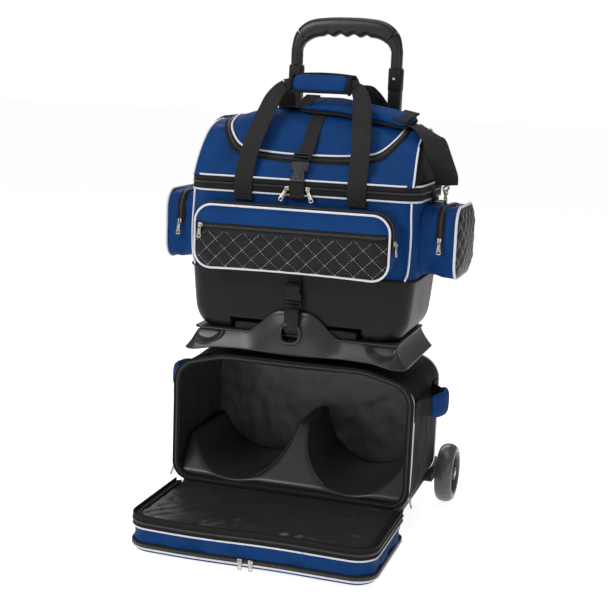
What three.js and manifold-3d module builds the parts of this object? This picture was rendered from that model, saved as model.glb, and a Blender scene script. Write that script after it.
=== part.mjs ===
// A four-ball stacking roller bag: a wheeled two-ball bag with a drop-down front flap, and a
// lift-off two-ball tote that sits on a moulded platform in front of a telescopic trolley handle.
// Millimetres. +X is the bag's right as seen from the front, +Y is the back and +Z is up.

import * as THREE from 'three';
import { mergeVertices } from 'three/addons/utils/BufferGeometryUtils.js';
import Module from 'manifold-3d';

const wasm = await Module();
wasm.setup();

const GAP = 0.3;

// The plane of the lower bag's front opening. Every Y below is measured back from it.
const FRONT_PLANE_Y = -60;

// The floor. Every Z below is measured from 10 mm above it.
const FLOOR_Z = -10;

// Lower bag
const LOWER_HALF_WIDTH = 250;
const LOWER_BOTTOM_Z = 62;
const LOWER_SHOULDER_Z = 318;
const LOWER_TOP_Z = 339;
const LOWER_BACK_Y = 250;
const LOWER_WALL = 6;

// Ball seats in the lower bag
const SEAT_RADIUS = 110.5;
const SEAT_X = 123;
const SEAT_Y = 118;
const SEAT_Z = 184.5;

// Wheels
const WHEEL_RADIUS = 63.5;
const WHEEL_X = 272;
const WHEEL_HALF_WIDTH = 20;
const AXLE_Y = 300;
const AXLE_Z = FLOOR_Z + WHEEL_RADIUS;
const AXLE_RADIUS = 6;

// Front flap, open and level
const FLAP_HALF_WIDTH = 243;
const FLAP_BACK_Y = -2.5;
const FLAP_FRONT_Y = -240;

// Stacking platform
const PLATFORM_HALF_WIDTH = 223;
const PLATFORM_TOP_Z = 389.6;
const PLATFORM_BACK_Y = 250;

// Trolley
const TUBE_X = 110;
const TUBE_Y = 306;

// Tote
const TOTE_HALF_WIDTH = 232;
const TOTE_FRONT_Y = 12;
const TOTE_BACK_Y = 267;
const SHELL_BOTTOM_Z = 390;
const SHELL_TOP_Z = 511;
const BODY_TOP_Z = 661;
const BAND_TOP_Z = 693;
const POCKET_HALF_WIDTH = 195;
const SIDE_SEAM_X = 300;
const SIDE_POCKET_X = 318;

const COLOURS = {
  blue_nylon: [0x16437f, 0.85, 0],
  black_nylon: [0x17171a, 0.85, 0],
  black_lining: [0x1d1d20, 0.6, 0],
  black_webbing: [0x141416, 0.8, 0],
  quilted_black: [0x121214, 0.55, 0],
  moulded_black: [0x1b1b1e, 0.5, 0],
  moulded_grey: [0x2c2c2f, 0.45, 0],
  foam_black: [0x202022, 0.9, 0],
  urethane_smoke: [0x6d6d6b, 0.35, 0],
  hub_plastic: [0x3a3a3c, 0.4, 0],
  steel: [0xa8a49c, 0.35, 1],
  anodised_black: [0x1c1c1e, 0.35, 0.8],
};

const bag = new THREE.Group();
bag.name = 'stacking_ball_bag';

function add(name, geometry, colour) {
  const [color, roughness, metalness] = COLOURS[colour];
  const material = new THREE.MeshStandardMaterial({ color, roughness, metalness });
  material.name = colour;
  geometry.translate(0, FRONT_PLANE_Y, -FLOOR_Z);
  const mesh = new THREE.Mesh(geometry, material);
  mesh.name = name;
  bag.add(mesh);
}

// ---- Shape tools ----

function point(x, y, z) {
  return new THREE.Vector3(x, y, z);
}

// A closed outline through [a, b, radius] corners, each rounded by its own radius.
function roundedLoop(corners, steps = 4) {
  const loop = [];
  corners.forEach(([a, b, radius], i) => {
    const here = new THREE.Vector2(a, b);
    if (!radius) {
      loop.push(here);
      return;
    }
    const before = corners[(i + corners.length - 1) % corners.length];
    const after = corners[(i + 1) % corners.length];
    const toBefore = new THREE.Vector2(before[0], before[1]).sub(here).normalize();
    const toAfter = new THREE.Vector2(after[0], after[1]).sub(here).normalize();
    const half = Math.acos(toBefore.dot(toAfter)) / 2;
    const middle = toBefore.clone().add(toAfter).normalize();
    const centre = here.clone().addScaledVector(middle, radius / Math.sin(half));
    const start = here.clone().addScaledVector(toBefore, radius / Math.tan(half)).sub(centre);
    const end = here.clone().addScaledVector(toAfter, radius / Math.tan(half)).sub(centre);
    const turn = Math.atan2(start.cross(end), start.dot(end));
    for (let s = 0; s <= steps; s += 1) {
      const arm = start.clone().rotateAround(new THREE.Vector2(), (turn * s) / steps);
      loop.push(arm.add(centre));
    }
  });
  return loop;
}

function rectangle(a0, b0, a1, b1, radius = 0, steps = 4) {
  return roundedLoop([[a0, b0, radius], [a1, b0, radius], [a1, b1, radius], [a0, b1, radius]], steps);
}

const EXTRUDE_FRAMES = {
  x: new THREE.Matrix4().makeBasis(point(0, 1, 0), point(0, 0, 1), point(1, 0, 0)),
  y: new THREE.Matrix4().makeBasis(point(1, 0, 0), point(0, 0, 1), point(0, -1, 0)),
  z: new THREE.Matrix4(),
};

// An outline pushed along one axis. Outlines are (y, z) along x, (x, z) along y, (x, y) along z.
function prism(axis, from, to, outline, holes = [], bevel = 0) {
  const shape = new THREE.Shape(outline);
  holes.forEach((hole) => shape.holes.push(new THREE.Path(hole)));
  const geometry = new THREE.ExtrudeGeometry(shape, {
    depth: to - from - 2 * bevel,
    bevelEnabled: bevel > 0,
    bevelSize: bevel,
    bevelOffset: -bevel,
    bevelThickness: bevel,
    bevelSegments: 2,
  });
  geometry.translate(0, 0, bevel);
  geometry.applyMatrix4(EXTRUDE_FRAMES[axis]);
  geometry.translate(axis === 'x' ? from : 0, axis === 'y' ? to : 0, axis === 'z' ? from : 0);
  return geometry;
}

function box(x0, y0, z0, x1, y1, z1) {
  return new THREE.BoxGeometry(x1 - x0, y1 - y0, z1 - z0)
    .translate((x0 + x1) / 2, (y0 + y1) / 2, (z0 + z1) / 2);
}

// A closed solid through matching loops of points, with a fan cap at each end.
function loftSolid(loops) {
  const count = loops[0].length;
  const points = loops.flat();
  const faces = [];
  for (let k = 0; k + 1 < loops.length; k += 1) {
    for (let i = 0; i < count; i += 1) {
      const a = k * count + i;
      const b = k * count + ((i + 1) % count);
      faces.push(a, b, b + count, a, b + count, a + count);
    }
  }
  [0, loops.length - 1].forEach((k, end) => {
    const centre = point(0, 0, 0);
    loops[k].forEach((p) => centre.addScaledVector(p, 1 / count));
    points.push(centre);
    for (let i = 0; i < count; i += 1) {
      const a = k * count + i;
      const b = k * count + ((i + 1) % count);
      faces.push(...(end ? [a, b, points.length - 1] : [b, a, points.length - 1]));
    }
  });
  let volume = 0;
  for (let f = 0; f < faces.length; f += 3) {
    const [a, b, c] = [points[faces[f]], points[faces[f + 1]], points[faces[f + 2]]];
    volume += a.dot(b.clone().cross(c));
  }
  if (volume < 0) {
    faces.reverse();
  }
  const geometry = new THREE.BufferGeometry();
  geometry.setAttribute('position', new THREE.Float32BufferAttribute(points.flatMap((p) => [p.x, p.y, p.z]), 3));
  geometry.setIndex(faces);
  return geometry;
}

// Profiles of [across, out] points carried along a path, kept square to it by the width directions.
// The last direction and the last profile serve for the rest of the path.
function sweepSolid(path, widthDirections, profiles) {
  const loops = path.map((centre, k) => {
    const ahead = path[Math.min(k + 1, path.length - 1)];
    const behind = path[Math.max(k - 1, 0)];
    const along = ahead.clone().sub(behind).normalize();
    const wide = widthDirections[Math.min(k, widthDirections.length - 1)].clone();
    wide.addScaledVector(along, -wide.dot(along)).normalize();
    const out = wide.clone().cross(along);
    const profile = profiles[Math.min(k, profiles.length - 1)];
    return profile.map(([a, b]) => centre.clone().addScaledVector(wide, a).addScaledVector(out, b));
  });
  return loftSolid(loops);
}

function flatProfile(width, thickness) {
  const [a, b] = [width / 2, thickness / 2];
  return [[-a, -b], [a, -b], [a, b], [-a, b]];
}

function ovalProfile(width, thickness, sides = 12) {
  return Array.from({ length: sides }, (_, i) => {
    const angle = (2 * Math.PI * i) / sides;
    return [(width / 2) * Math.cos(angle), (thickness / 2) * Math.sin(angle)];
  });
}

function toManifold(geometry) {
  const bare = new THREE.BufferGeometry();
  bare.setAttribute('position', geometry.attributes.position.clone());
  if (geometry.index) {
    bare.setIndex(geometry.index.clone());
  }
  const welded = mergeVertices(bare, 1e-4);
  return new wasm.Manifold(new wasm.Mesh({
    numProp: 3,
    vertProperties: new Float32Array(welded.attributes.position.array),
    triVerts: new Uint32Array(welded.index.array),
  }));
}

function fromManifold(solid) {
  const mesh = solid.getMesh();
  const geometry = new THREE.BufferGeometry();
  geometry.setAttribute('position', new THREE.BufferAttribute(new Float32Array(mesh.vertProperties), 3));
  geometry.setIndex(new THREE.BufferAttribute(new Uint32Array(mesh.triVerts), 1));
  return geometry;
}

function cut(geometry, ...tools) {
  return fromManifold(tools.reduce((solid, tool) => solid.subtract(toManifold(tool)), toManifold(geometry)));
}

function join(geometry, ...others) {
  return fromManifold(others.reduce((solid, other) => solid.add(toManifold(other)), toManifold(geometry)));
}

function common(geometry, other) {
  return fromManifold(toManifold(geometry).intersect(toManifold(other)));
}

// A turned ring about the wheel axle, from an outline of [radius, offset along X] points.
function turned(profile, x, segments = 40) {
  const points = profile.map(([radius, along]) => new THREE.Vector2(radius, along));
  points.push(points[0].clone());
  const geometry = new THREE.LatheGeometry(points, segments);
  geometry.rotateZ(-Math.PI / 2);
  geometry.translate(x, AXLE_Y, AXLE_Z);
  return geometry;
}

// ---- Lower bag ----

function lowerOutline(inset, steps = 4) {
  const side = LOWER_HALF_WIDTH - inset;
  const low = LOWER_BOTTOM_Z + inset;
  return roundedLoop([
    [-side, low, 38 - inset], [side, low, 38 - inset],
    [side, LOWER_SHOULDER_Z - inset, 48 - inset], [120, LOWER_TOP_Z - 4 - inset, 0],
    [0, LOWER_TOP_Z - inset, 0], [-120, LOWER_TOP_Z - 4 - inset, 0],
    [-side, LOWER_SHOULDER_Z - inset, 48 - inset],
  ], steps);
}

function addLowerBag() {
  add('lower_shell', prism('y', 2, LOWER_BACK_Y, lowerOutline(0), [lowerOutline(LOWER_WALL)]), 'black_nylon');
  add('lower_back_panel', prism('y', LOWER_BACK_Y + GAP, 256, lowerOutline(0)), 'black_nylon');
  add('lower_front_frame', prism('y', -1.6, 2 - GAP, lowerOutline(0), [lowerOutline(11)]), 'black_webbing');
}

// The moulded seat for two balls: a trough each side of a divider, sloping up from the front lip.
function addBallCradle() {
  const floor = LOWER_BOTTOM_Z + LOWER_WALL + 2 * GAP;
  const right = [];
  for (let s = 0; s <= 10; s += 1) {
    const angle = THREE.MathUtils.degToRad(-20 - s * 16);
    right.push([SEAT_X + SEAT_RADIUS * Math.cos(angle), SEAT_Z + SEAT_RADIUS * Math.sin(angle)]);
  }
  const outline = [[-238, floor + 32], [-206, floor], [206, floor], [238, floor + 32], [238, right[0][1]]];
  outline.push(...right);
  right.slice().reverse().forEach(([x, z]) => outline.push([-x, z]));
  outline.push([-238, right[0][1]]);
  const block = prism('y', 12, 236, outline.map(([x, z]) => new THREE.Vector2(x, z)));
  const sloping = [[0, 66], [12, 80], [104, 186], [104, 240], [0, 240]];
  const slope = prism('x', -260, 260, sloping.map(([y, z]) => new THREE.Vector2(y, z)));
  add('ball_cradle', cut(block, slope), 'moulded_grey');
}

function addBase() {
  add('base_plate', prism('z', 50, 61.6, rectangle(-235, 8, 235, 262, 24)), 'moulded_black');
  for (const [name, side] of [['left', -1], ['right', 1]]) {
    const loops = [[FLOOR_Z, 24], [FLOOR_Z + 6, 27], [49.6, 32]].map(([z, half]) => rectangle(
      side * 180 - half, 40 - half * 0.7, side * 180 + half, 40 + half * 0.7, 8, 2,
    ).map((p) => point(p.x, p.y, z)));
    add(`front_foot_${name}`, loftSolid(loops), 'moulded_black');
  }
  const beam = prism('x', -244, 244, rectangle(262.4, 36, 322, 83.6, 12));
  const bore = new THREE.CylinderGeometry(AXLE_RADIUS + GAP, AXLE_RADIUS + GAP, 500, 24)
    .rotateZ(Math.PI / 2).translate(0, AXLE_Y, AXLE_Z);
  add('axle_beam', cut(beam, bore), 'moulded_black');
  const rod = new THREE.CylinderGeometry(AXLE_RADIUS, AXLE_RADIUS, 580, 24)
    .rotateZ(Math.PI / 2).translate(0, AXLE_Y, AXLE_Z);
  add('axle_rod', rod, 'steel');
}

function addWheels() {
  const half = WHEEL_HALF_WIDTH;
  const tread = [
    [44.4, -half + 3], [50, -half + 1], [56, -half + 2], [60.5, -half + 6], [63, -half + 12], [63.5, 0],
    [63, half - 12], [60.5, half - 6], [56, half - 2], [50, half - 1], [44.4, half - 3],
  ];
  const hub = [[6.08, -18], [18, -18], [20, -12], [36, -9], [44, -15], [44, 15], [36, 9], [20, 12], [18, 18], [6.08, 18]];
  for (const [name, side] of [['left', -1], ['right', 1]]) {
    add(`wheel_tyre_${name}`, turned(tread, side * WHEEL_X), 'urethane_smoke');
    add(`wheel_hub_${name}`, turned(hub, side * WHEEL_X, 24), 'hub_plastic');
  }
}

// Webbing sewn to the bag's side at both ends and bowed out in the middle, inside a moulded sleeve.
function addSideGrips() {
  const bow = [
    [252.3, 14], [252.3, 42], [258, 54], [272, 70], [284, 88], [290, 112],
    [287, 138], [276, 160], [262, 178], [252.3, 192], [252.3, 216],
  ];
  for (const [name, side] of [['left', -1], ['right', 1]]) {
    const path = bow.map(([x, y]) => point(side * x, y, 259));
    const up = [point(0, 0, 1)];
    add(`side_grip_strap_${name}`, sweepSolid(path, up, [flatProfile(36, 2.6)]), 'black_webbing');
    const middle = path.slice(3, 8);
    const outer = sweepSolid(middle, up, [ovalProfile(48, 13, 14)]);
    const slot = sweepSolid(path.slice(2, 9), up, [flatProfile(36.8, 3.4)]);
    add(`side_grip_sleeve_${name}`, cut(outer, slot), 'blue_nylon');
  }
}

// ---- Front flap ----

function flapOutline(inset) {
  const side = FLAP_HALF_WIDTH - inset;
  const front = FLAP_FRONT_Y + inset;
  const back = FLAP_BACK_Y - inset;
  return roundedLoop([[-side, front, 44 - inset], [side, front, 44 - inset], [side, back, 6], [-side, back, 6]]);
}

function addFlap() {
  add('flap_rim', prism('z', 42, 65.4, flapOutline(0), [flapOutline(14)]), 'black_webbing');
  add('flap_lining', prism('z', 50, 58, flapOutline(14 + GAP)), 'black_lining');
  add('flap_pocket_gusset', prism('z', -1, 42 - GAP, flapOutline(2), [flapOutline(8)]), 'blue_nylon');
  add('flap_pocket_panel', prism('z', FLOOR_Z + 1.5, -1 - GAP, flapOutline(2)), 'blue_nylon');
  for (const [name, x] of [['left', -9], ['right', 12]]) {
    const tab = prism('y', -3.4, -0.6, rectangle(x - 5, -8.5, x + 5, 15.5, 4), [rectangle(x - 2.5, -5.5, x + 2.5, 1.5, 2)]);
    add(`flap_pull_${name}`, tab.translate(0, FLAP_FRONT_Y, 0), 'steel');
  }
}

// ---- Platform, docking strap and trolley ----

function tubeHole(side, z0, z1) {
  return box(side * TUBE_X - 16.3, TUBE_Y - 12.3, z0, side * TUBE_X + 16.3, TUBE_Y + 12.3, z1);
}

function addPlatform() {
  const edge = PLATFORM_HALF_WIDTH;
  const crest = [[223, 378], [214, 386], [160, 387], [98, 389], [76, 406], [43, 430], [28, 437]];
  const front = [[0, 348], [edge, 343], ...crest];
  crest.slice().reverse().forEach(([x, z]) => front.push([-x, z]));
  front.push([-edge, 343]);
  const lip = prism('y', -8, TOTE_FRONT_Y - 0.6, front.map(([x, z]) => new THREE.Vector2(x, z)));
  const slab = [[0, 348], [edge, 343], [edge, 378], [212, PLATFORM_TOP_Z], [-212, PLATFORM_TOP_Z], [-edge, 378], [-edge, 343]];
  const deck = prism('y', 8, PLATFORM_BACK_Y, slab.map(([x, z]) => new THREE.Vector2(x, z)));
  const collar = box(-140, 262.5, 300, 140, 322, 386);
  const bridge = box(-140, 240, 350, 140, 270, 386);
  const grommet = prism('y', -10, 20, rectangle(-23, 375, 17, 413, 15));
  const underside = box(-214, -1, 330, 214, 238, 381);
  const platform = cut(
    join(lip, deck, collar, bridge), grommet, underside,
    tubeHole(-1, 290, 400), tubeHole(1, 290, 400),
  );
  const lugs = [-1, 1].map((side) => box(side * 95 - 32, 11, 385, side * 95 + 32, 36, 404));
  add('stacking_platform', join(platform, ...lugs), 'moulded_grey');
}

function addDocking() {
  const drop = [[0.5, 444], [-5, 442], [-10.6, 438], [-11, 425], [-10.4, 408], [-8, 400], [3, 390], [18, 380], [30, 366], [36, 352], [37, 341]];
  const path = drop.map(([y, z]) => point(-3, y, z));
  add('docking_strap', sweepSolid(path, [point(1, 0, 0)], [flatProfile(30, 2.4)]), 'black_webbing');
  const ladder = box(-22, -4, 446, 16, 8, 458);
  const tongue = box(-16, -0.5, 457, 10, 4.5, 478);
  add('docking_buckle_male', join(ladder, tongue), 'moulded_black');
  const cap = prism('y', -4, 8, rectangle(-22, 458.4, 16, 492, 6));
  const socket = box(-16.6, -1.1, 450, 10.6, 5.1, 480);
  const tab = box(-18, 6, 486, 12, 11, 516);
  add('docking_buckle_female', cut(join(cap, tab), socket), 'moulded_black');
}

function addTrolley() {
  const socket = box(-140, 256.5, 84, 140, 322, 132);
  add('trolley_socket', cut(socket, tubeHole(-1, 90, 140), tubeHole(1, 90, 140)), 'moulded_black');
  for (const [name, side] of [['left', -1], ['right', 1]]) {
    const x = side * TUBE_X;
    const outer = rectangle(x - 16, TUBE_Y - 12, x + 16, TUBE_Y + 12, 2, 1);
    const bore = rectangle(x - 14.4, TUBE_Y - 10.4, x + 14.4, TUBE_Y + 10.4, 1, 1);
    add(`outer_tube_${name}`, prism('z', 90.3, 520, outer, [bore]), 'anodised_black');
    const stem = rectangle(x - 14, TUBE_Y - 10, x + 14, TUBE_Y + 10, 2, 1);
    const hollow = rectangle(x - 12, TUBE_Y - 8, x + 12, TUBE_Y + 8, 1, 1);
    add(`inner_tube_${name}`, prism('z', 300, 917.7, stem, [hollow]), 'anodised_black');
  }
  const arch = roundedLoop([
    [-122, 918, 0], [-98, 918, 0], [-98, 979, 24], [98, 979, 24], [98, 918, 0],
    [122, 918, 0], [122, 1008, 44], [0, 1020, 0], [-122, 1008, 44],
  ], 5);
  const grip = prism('y', TUBE_Y - 14, TUBE_Y + 14, arch, [], 3);
  const fingerRests = [-48, -16, 16, 48].map((x) => new THREE.CylinderGeometry(13, 13, 21, 16)
    .scale(1, 1, 0.5).translate(x, TUBE_Y, 981));
  add('trolley_grip', join(grip, ...fingerRests), 'moulded_black');
}

// ---- Tote ----

function toteLoop(z, halfWidth, front, back, radius, steps = 4) {
  return rectangle(-halfWidth, front, halfWidth, back, radius, steps).map((p) => point(p.x, p.y, z));
}

function addToteShell() {
  const outer = [
    [SHELL_BOTTOM_Z, 190, 22, 257, 30], [395, 207, 17, 262, 34], [407, 218, 14, 265, 36],
    [424, 224, 13, 266, 38], [SHELL_TOP_Z, 231, TOTE_FRONT_Y, TOTE_BACK_Y, 40],
  ];
  const inner = [
    [SHELL_TOP_Z, 226, 17, 262, 36], [426, 219, 18, 261, 34], [409, 213, 19, 260, 32], [395, 190, 26, 253, 28],
  ];
  const tub = loftSolid([...outer, ...inner].map((row) => toteLoop(...row)));
  const notches = [-1, 1].map((side) => box(side * 95 - 42, 5, 380, side * 95 + 42, 40, 412));
  add('tote_shell', cut(tub, ...notches), 'moulded_black');
}

function addToteFoam() {
  const block = loftSolid([
    [412.5, 208, 21, 258, 28], [430, 216, 20, 259, 30], [480, 219, 20, 259, 30],
  ].map((row) => toteLoop(...row)));
  const seats = [-1, 1].map((side) => new THREE.SphereGeometry(SEAT_RADIUS, 24, 16)
    .translate(side * 110, 139.5, 528));
  add('tote_foam', cut(block, ...seats), 'foam_black');
}

function addToteBody() {
  const half = TOTE_HALF_WIDTH;
  const [front, back] = [TOTE_FRONT_Y, TOTE_BACK_Y];
  const outline = rectangle(-half, front, half, back, 40);
  const inside = rectangle(-half + 6, front + 6, half - 6, back - 6, 34);
  add('tote_body', prism('z', SHELL_TOP_Z + GAP, BODY_TOP_Z, outline, [inside]), 'blue_nylon');
  const band = rectangle(-half - 3, front - 3, half + 3, back + 3, 43);
  add('tote_zip_band', prism('z', BODY_TOP_Z + GAP, BAND_TOP_Z, band, [inside]), 'black_webbing');
  add('shoe_floor', prism('z', 664, 670, rectangle(-half + 8, front + 8, half - 8, back - 8, 32)), 'black_lining');
}

// The shoe compartment's crowned shape: [y, z] side profiles at the ends and at the middle.
const END_PROFILE = [
  [12, 693.4], [27, 724], [43, 748], [65, 771], [92, 786], [125, 795], [165, 798],
  [200, 789], [240, 773], [262, 745], [267, 693.4],
];
const MIDDLE_PROFILE = [
  [12, 693.4], [36, 712], [58, 734], [82, 764], [108, 793], [135, 812], [165, 820],
  [200, 812], [240, 792], [262, 755], [267, 693.4],
];

function crownedProfile(x) {
  const crown = 1 - (Math.abs(x) / 228) ** 2.5;
  return END_PROFILE.map(([y, z], i) => [
    y + (MIDDLE_PROFILE[i][0] - y) * crown,
    z + (MIDDLE_PROFILE[i][1] - z) * crown,
  ]);
}

function compartment(stations, shrink, floorDrop) {
  return loftSolid(stations.map((x) => crownedProfile(x).map(([y, z]) => point(
    x, 139.5 + (y - 139.5) * shrink, 690 - floorDrop + (z - 690) * shrink,
  ))));
}

function addShoeCompartment() {
  const stations = [-222, -180, -120, -60, 0, 60, 120, 180, 222];
  const skin = cut(
    compartment(stations, 1, 0),
    compartment([-226, ...stations.slice(1, -1), 226], 0.958, 4),
  );
  const zipOutline = rectangle(-196, 46, 196, 250, 62, 6);
  const mouth = roundedLoop([[-181, 61, 52], [181, 61, 52], [181, 262, 0], [-181, 262, 0]], 6);
  const lidOutline = roundedLoop([[-180.6, 61.4, 52], [180.6, 61.4, 52], [180.6, 249.6, 0], [-180.6, 249.6, 0]], 6);
  const zipCut = roundedLoop([[-196, 46, 62], [196, 46, 62], [196, 250, 0], [-196, 250, 0]], 6);
  const zipInner = roundedLoop([[-195.6, 46.4, 62], [195.6, 46.4, 62], [195.6, 249.6, 0], [-195.6, 249.6, 0]], 6);
  add('upper_cover', cut(skin, prism('z', 600, 900, zipCut)), 'blue_nylon');
  const band = cut(common(skin, prism('z', 600, 900, zipInner)), prism('z', 600, 900, mouth));
  add('lid_zip_band', band, 'black_webbing');
  add('top_lid', common(skin, prism('z', 600, 900, lidOutline)), 'blue_nylon');
  const end = END_PROFILE.map(([y, z]) => new THREE.Vector2(y, z));
  add('upper_end_left', prism('x', -228, -222 - GAP, end), 'black_nylon');
  add('upper_end_right', prism('x', 222 + GAP, 228, end), 'black_nylon');
}

function addFrontPocket() {
  const [side, low, top] = [POCKET_HALF_WIDTH, 517, 641];
  const outline = rectangle(-side, low, side, top, 34);
  const inside = rectangle(-side + 5, low + 5, side - 5, top - 5, 29);
  add('front_pocket_gusset', prism('y', -44, TOTE_FRONT_Y - GAP, outline, [inside]), 'blue_nylon');
  const upper = roundedLoop([[-side, 600, 0], [side, 600, 0], [side, top, 34], [-side, top, 34]]);
  const lower = roundedLoop([[-side, low, 34], [side, low, 34], [side, 600 - GAP, 0], [-side, 600 - GAP, 0]]);
  add('front_pocket_face', prism('y', -50, -44 - GAP, upper), 'blue_nylon');
  add('front_pocket_quilt', prism('y', -50, -44 - GAP, lower), 'quilted_black');
}

function sidePocketLoop(x, inset) {
  const outline = rectangle(62 + inset, 515 + inset, 240 - inset, 654 - inset, 36 - inset / 2);
  return outline.map((p) => point(x, p.x, p.y));
}

function addSidePockets() {
  const outline = rectangle(62, 515, 240, 654, 36);
  const inside = rectangle(67, 520, 235, 649, 31);
  const dome = [[SIDE_SEAM_X + GAP, 0], [309, 5], [315, 18], [SIDE_POCKET_X, 42]];
  for (const [name, side] of [['left', -1], ['right', 1]]) {
    const inner = side * (TOTE_HALF_WIDTH + GAP);
    const seam = side * SIDE_SEAM_X;
    const gusset = prism('x', Math.min(inner, seam), Math.max(inner, seam), outline, [inside]);
    add(`side_pocket_gusset_${name}`, gusset, 'blue_nylon');
    const loops = dome.map(([x, inset]) => sidePocketLoop(side * x, inset));
    add(`side_pocket_quilt_${name}`, loftSolid(loops), 'quilted_black');
  }
}

function addLidStrap() {
  const over = [[206, 815], [186, 822], [165, 824.5], [135, 816.5], [106, 796.5], [80, 767.5], [56, 738.5], [46, 730.5]];
  const path = over.map(([y, z], i) => point(4 - i, y, z));
  add('lid_strap', sweepSolid(path, [point(1, 0, 0)], [flatProfile(28, 2.4)]), 'black_webbing');
  const slope = [[40.5, 725], [24, 711], [6, 699]].map(([y, z]) => point(-4, y - 5, z + 6));
  const body = sweepSolid(slope, [point(1, 0, 0)], [flatProfile(36, 10)]);
  const tab = box(-18, 4, 655, 10, 8.6, 706);
  add('lid_buckle', join(body, tab), 'moulded_black');
}

// ---- Carry handles and shoulder strap ----

// One webbing loop: two legs rising from sewn feet at either side to a narrower, folded top.
function carryLoop(rise) {
  const left = rise.map(([x, y, z]) => point(-x, y, z));
  const right = rise.slice().reverse().map(([x, y, z]) => point(x, y, z));
  const path = [...left, ...right];
  const turns = path.map((p, k) => {
    const fromEnd = Math.min(k, path.length - 1 - k);
    return Math.max(0, fromEnd - (rise.length - 4)) / 3;
  });
  const directions = path.map((p, k) => {
    const lean = p.y > 139 ? 0.2 : 0.55;
    return point(Math.sign(p.x) * -(1 - turns[k]), turns[k] * lean, turns[k] * 0.83);
  });
  return sweepSolid(path, directions, turns.map((turn) => flatProfile(38 - 10 * turn, 2.6)));
}

function addCarryHandles() {
  const front = [
    [115, 6.5, 650], [115, 6.5, 692], [112, 30, 738], [105, 60, 786], [96, 88, 828],
    [88, 106, 856], [74, 118, 873], [52, 122, 879], [20, 123, 880],
  ];
  add('carry_loop_front', carryLoop(front), 'black_webbing');
  const rear = [
    [115, 272.3, 650], [115, 272.3, 750], [112, 262, 784], [104, 230, 824], [95, 198, 854],
    [86, 174, 872], [72, 160, 881], [52, 154, 885], [20, 153, 886],
  ];
  add('carry_loop_rear', carryLoop(rear), 'black_webbing');
  const up = [point(0, 0.5, 0.86)];
  const bar = [-57, -30, 30, 57].map((x) => point(x, 123, 879));
  const outer = sweepSolid(bar, up, [ovalProfile(41, 30, 14)]);
  const core = sweepSolid([-62, 62].map((x) => point(x, 123, 879)), up, [flatProfile(33, 12)]);
  add('handle_wrap', cut(outer, core), 'blue_nylon');
}

function addShoulderStrap() {
  const rest = [
    [-262, 140, 694], [-261, 148, 722], [-252, 166, 762], [-238, 184, 792], [-214, 200, 804], [-170, 206, 809],
    [-120, 198, 812], [-80, 170, 826], [-44, 148, 830], [0, 142, 829], [50, 138, 825], [100, 133, 818],
    [150, 126, 811], [195, 112, 803], [219, 92, 797], [245, 74, 778], [255, 84, 752], [260, 114, 726],
    [262, 136, 708], [262, 140, 694],
  ];
  const path = rest.map(([x, y, z]) => point(x, y, z));
  const directions = rest.map(([x]) => {
    const side = Math.min(1, Math.max(0, x > 0 ? (x - 196) / 66 : (-x - 248) / 26));
    return point(Math.sign(x) * side, 1 - side * 0.7, 0);
  });
  directions[6] = point(0.75, 0.66, 0);
  directions[7] = point(0.5, 0.85, 0);
  add('shoulder_strap', sweepSolid(path, directions, [flatProfile(46, 2.4)]), 'black_webbing');
  const lift = path.slice(8, 14).map((p) => p.clone().add(point(0, 0, 8.2)));
  add('shoulder_pad', sweepSolid(lift, [point(0, 1, 0)], [ovalProfile(62, 13, 12)]), 'blue_nylon');
}

function addStrapHooks() {
  for (const [name, side] of [['left', -1], ['right', 1]]) {
    const x = side * 262;
    const loop = prism('y', 136, 144, rectangle(x - 25, 684, x + 25, 692, 3), []);
    const stem = box(x - 3, 137, 668, x + 3, 143, 686);
    const ring = prism('y', 137, 143, rectangle(x - 13, 655, x + 11, 672, 6), [rectangle(x - 9, 659, x + 7, 668, 3)]);
    const tab = box(Math.min(side * 235.4, x), 138, 655, Math.max(side * 235.4, x), 142, 659);
    add(`strap_hook_${name}`, join(loop, stem, ring, tab), 'steel');
  }
}

addLowerBag();
addBallCradle();
addBase();
addWheels();
addSideGrips();
addFlap();
addPlatform();
addDocking();
addTrolley();
addToteShell();
addToteFoam();
addToteBody();
addShoeCompartment();
addFrontPocket();
addSidePockets();
addLidStrap();
addCarryHandles();
addShoulderStrap();
addStrapHooks();

export default bag;
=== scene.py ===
"""The looks of a four-ball stacking roller bag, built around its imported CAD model.

Lengths are millimetres measured from the lower bag's front opening, as (x, y, z): +X is the bag's
right seen from the front, +Y is the back and +Z is up from 10 mm above the floor. make() turns them into
metres in the CAD frame.
"""

import math

import bmesh
import bpy
import numpy as np
from mathutils import Matrix, Vector, noise


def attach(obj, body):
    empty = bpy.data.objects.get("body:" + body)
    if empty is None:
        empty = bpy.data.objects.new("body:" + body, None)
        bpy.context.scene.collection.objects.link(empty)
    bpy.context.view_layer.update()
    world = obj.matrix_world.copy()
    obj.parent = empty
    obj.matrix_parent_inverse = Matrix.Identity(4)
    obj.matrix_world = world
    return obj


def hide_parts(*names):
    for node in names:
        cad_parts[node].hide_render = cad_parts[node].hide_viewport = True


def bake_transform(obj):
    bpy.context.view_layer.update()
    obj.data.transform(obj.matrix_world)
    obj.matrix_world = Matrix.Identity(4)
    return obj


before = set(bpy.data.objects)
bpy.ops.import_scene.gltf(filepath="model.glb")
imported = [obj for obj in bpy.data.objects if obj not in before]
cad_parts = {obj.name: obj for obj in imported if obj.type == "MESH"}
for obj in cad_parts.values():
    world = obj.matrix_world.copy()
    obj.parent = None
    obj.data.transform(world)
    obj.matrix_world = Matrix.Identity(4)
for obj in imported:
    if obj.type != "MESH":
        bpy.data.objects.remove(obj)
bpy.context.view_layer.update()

FRONT_PLANE_Y = -60
FLOOR_Z = -10

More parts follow.
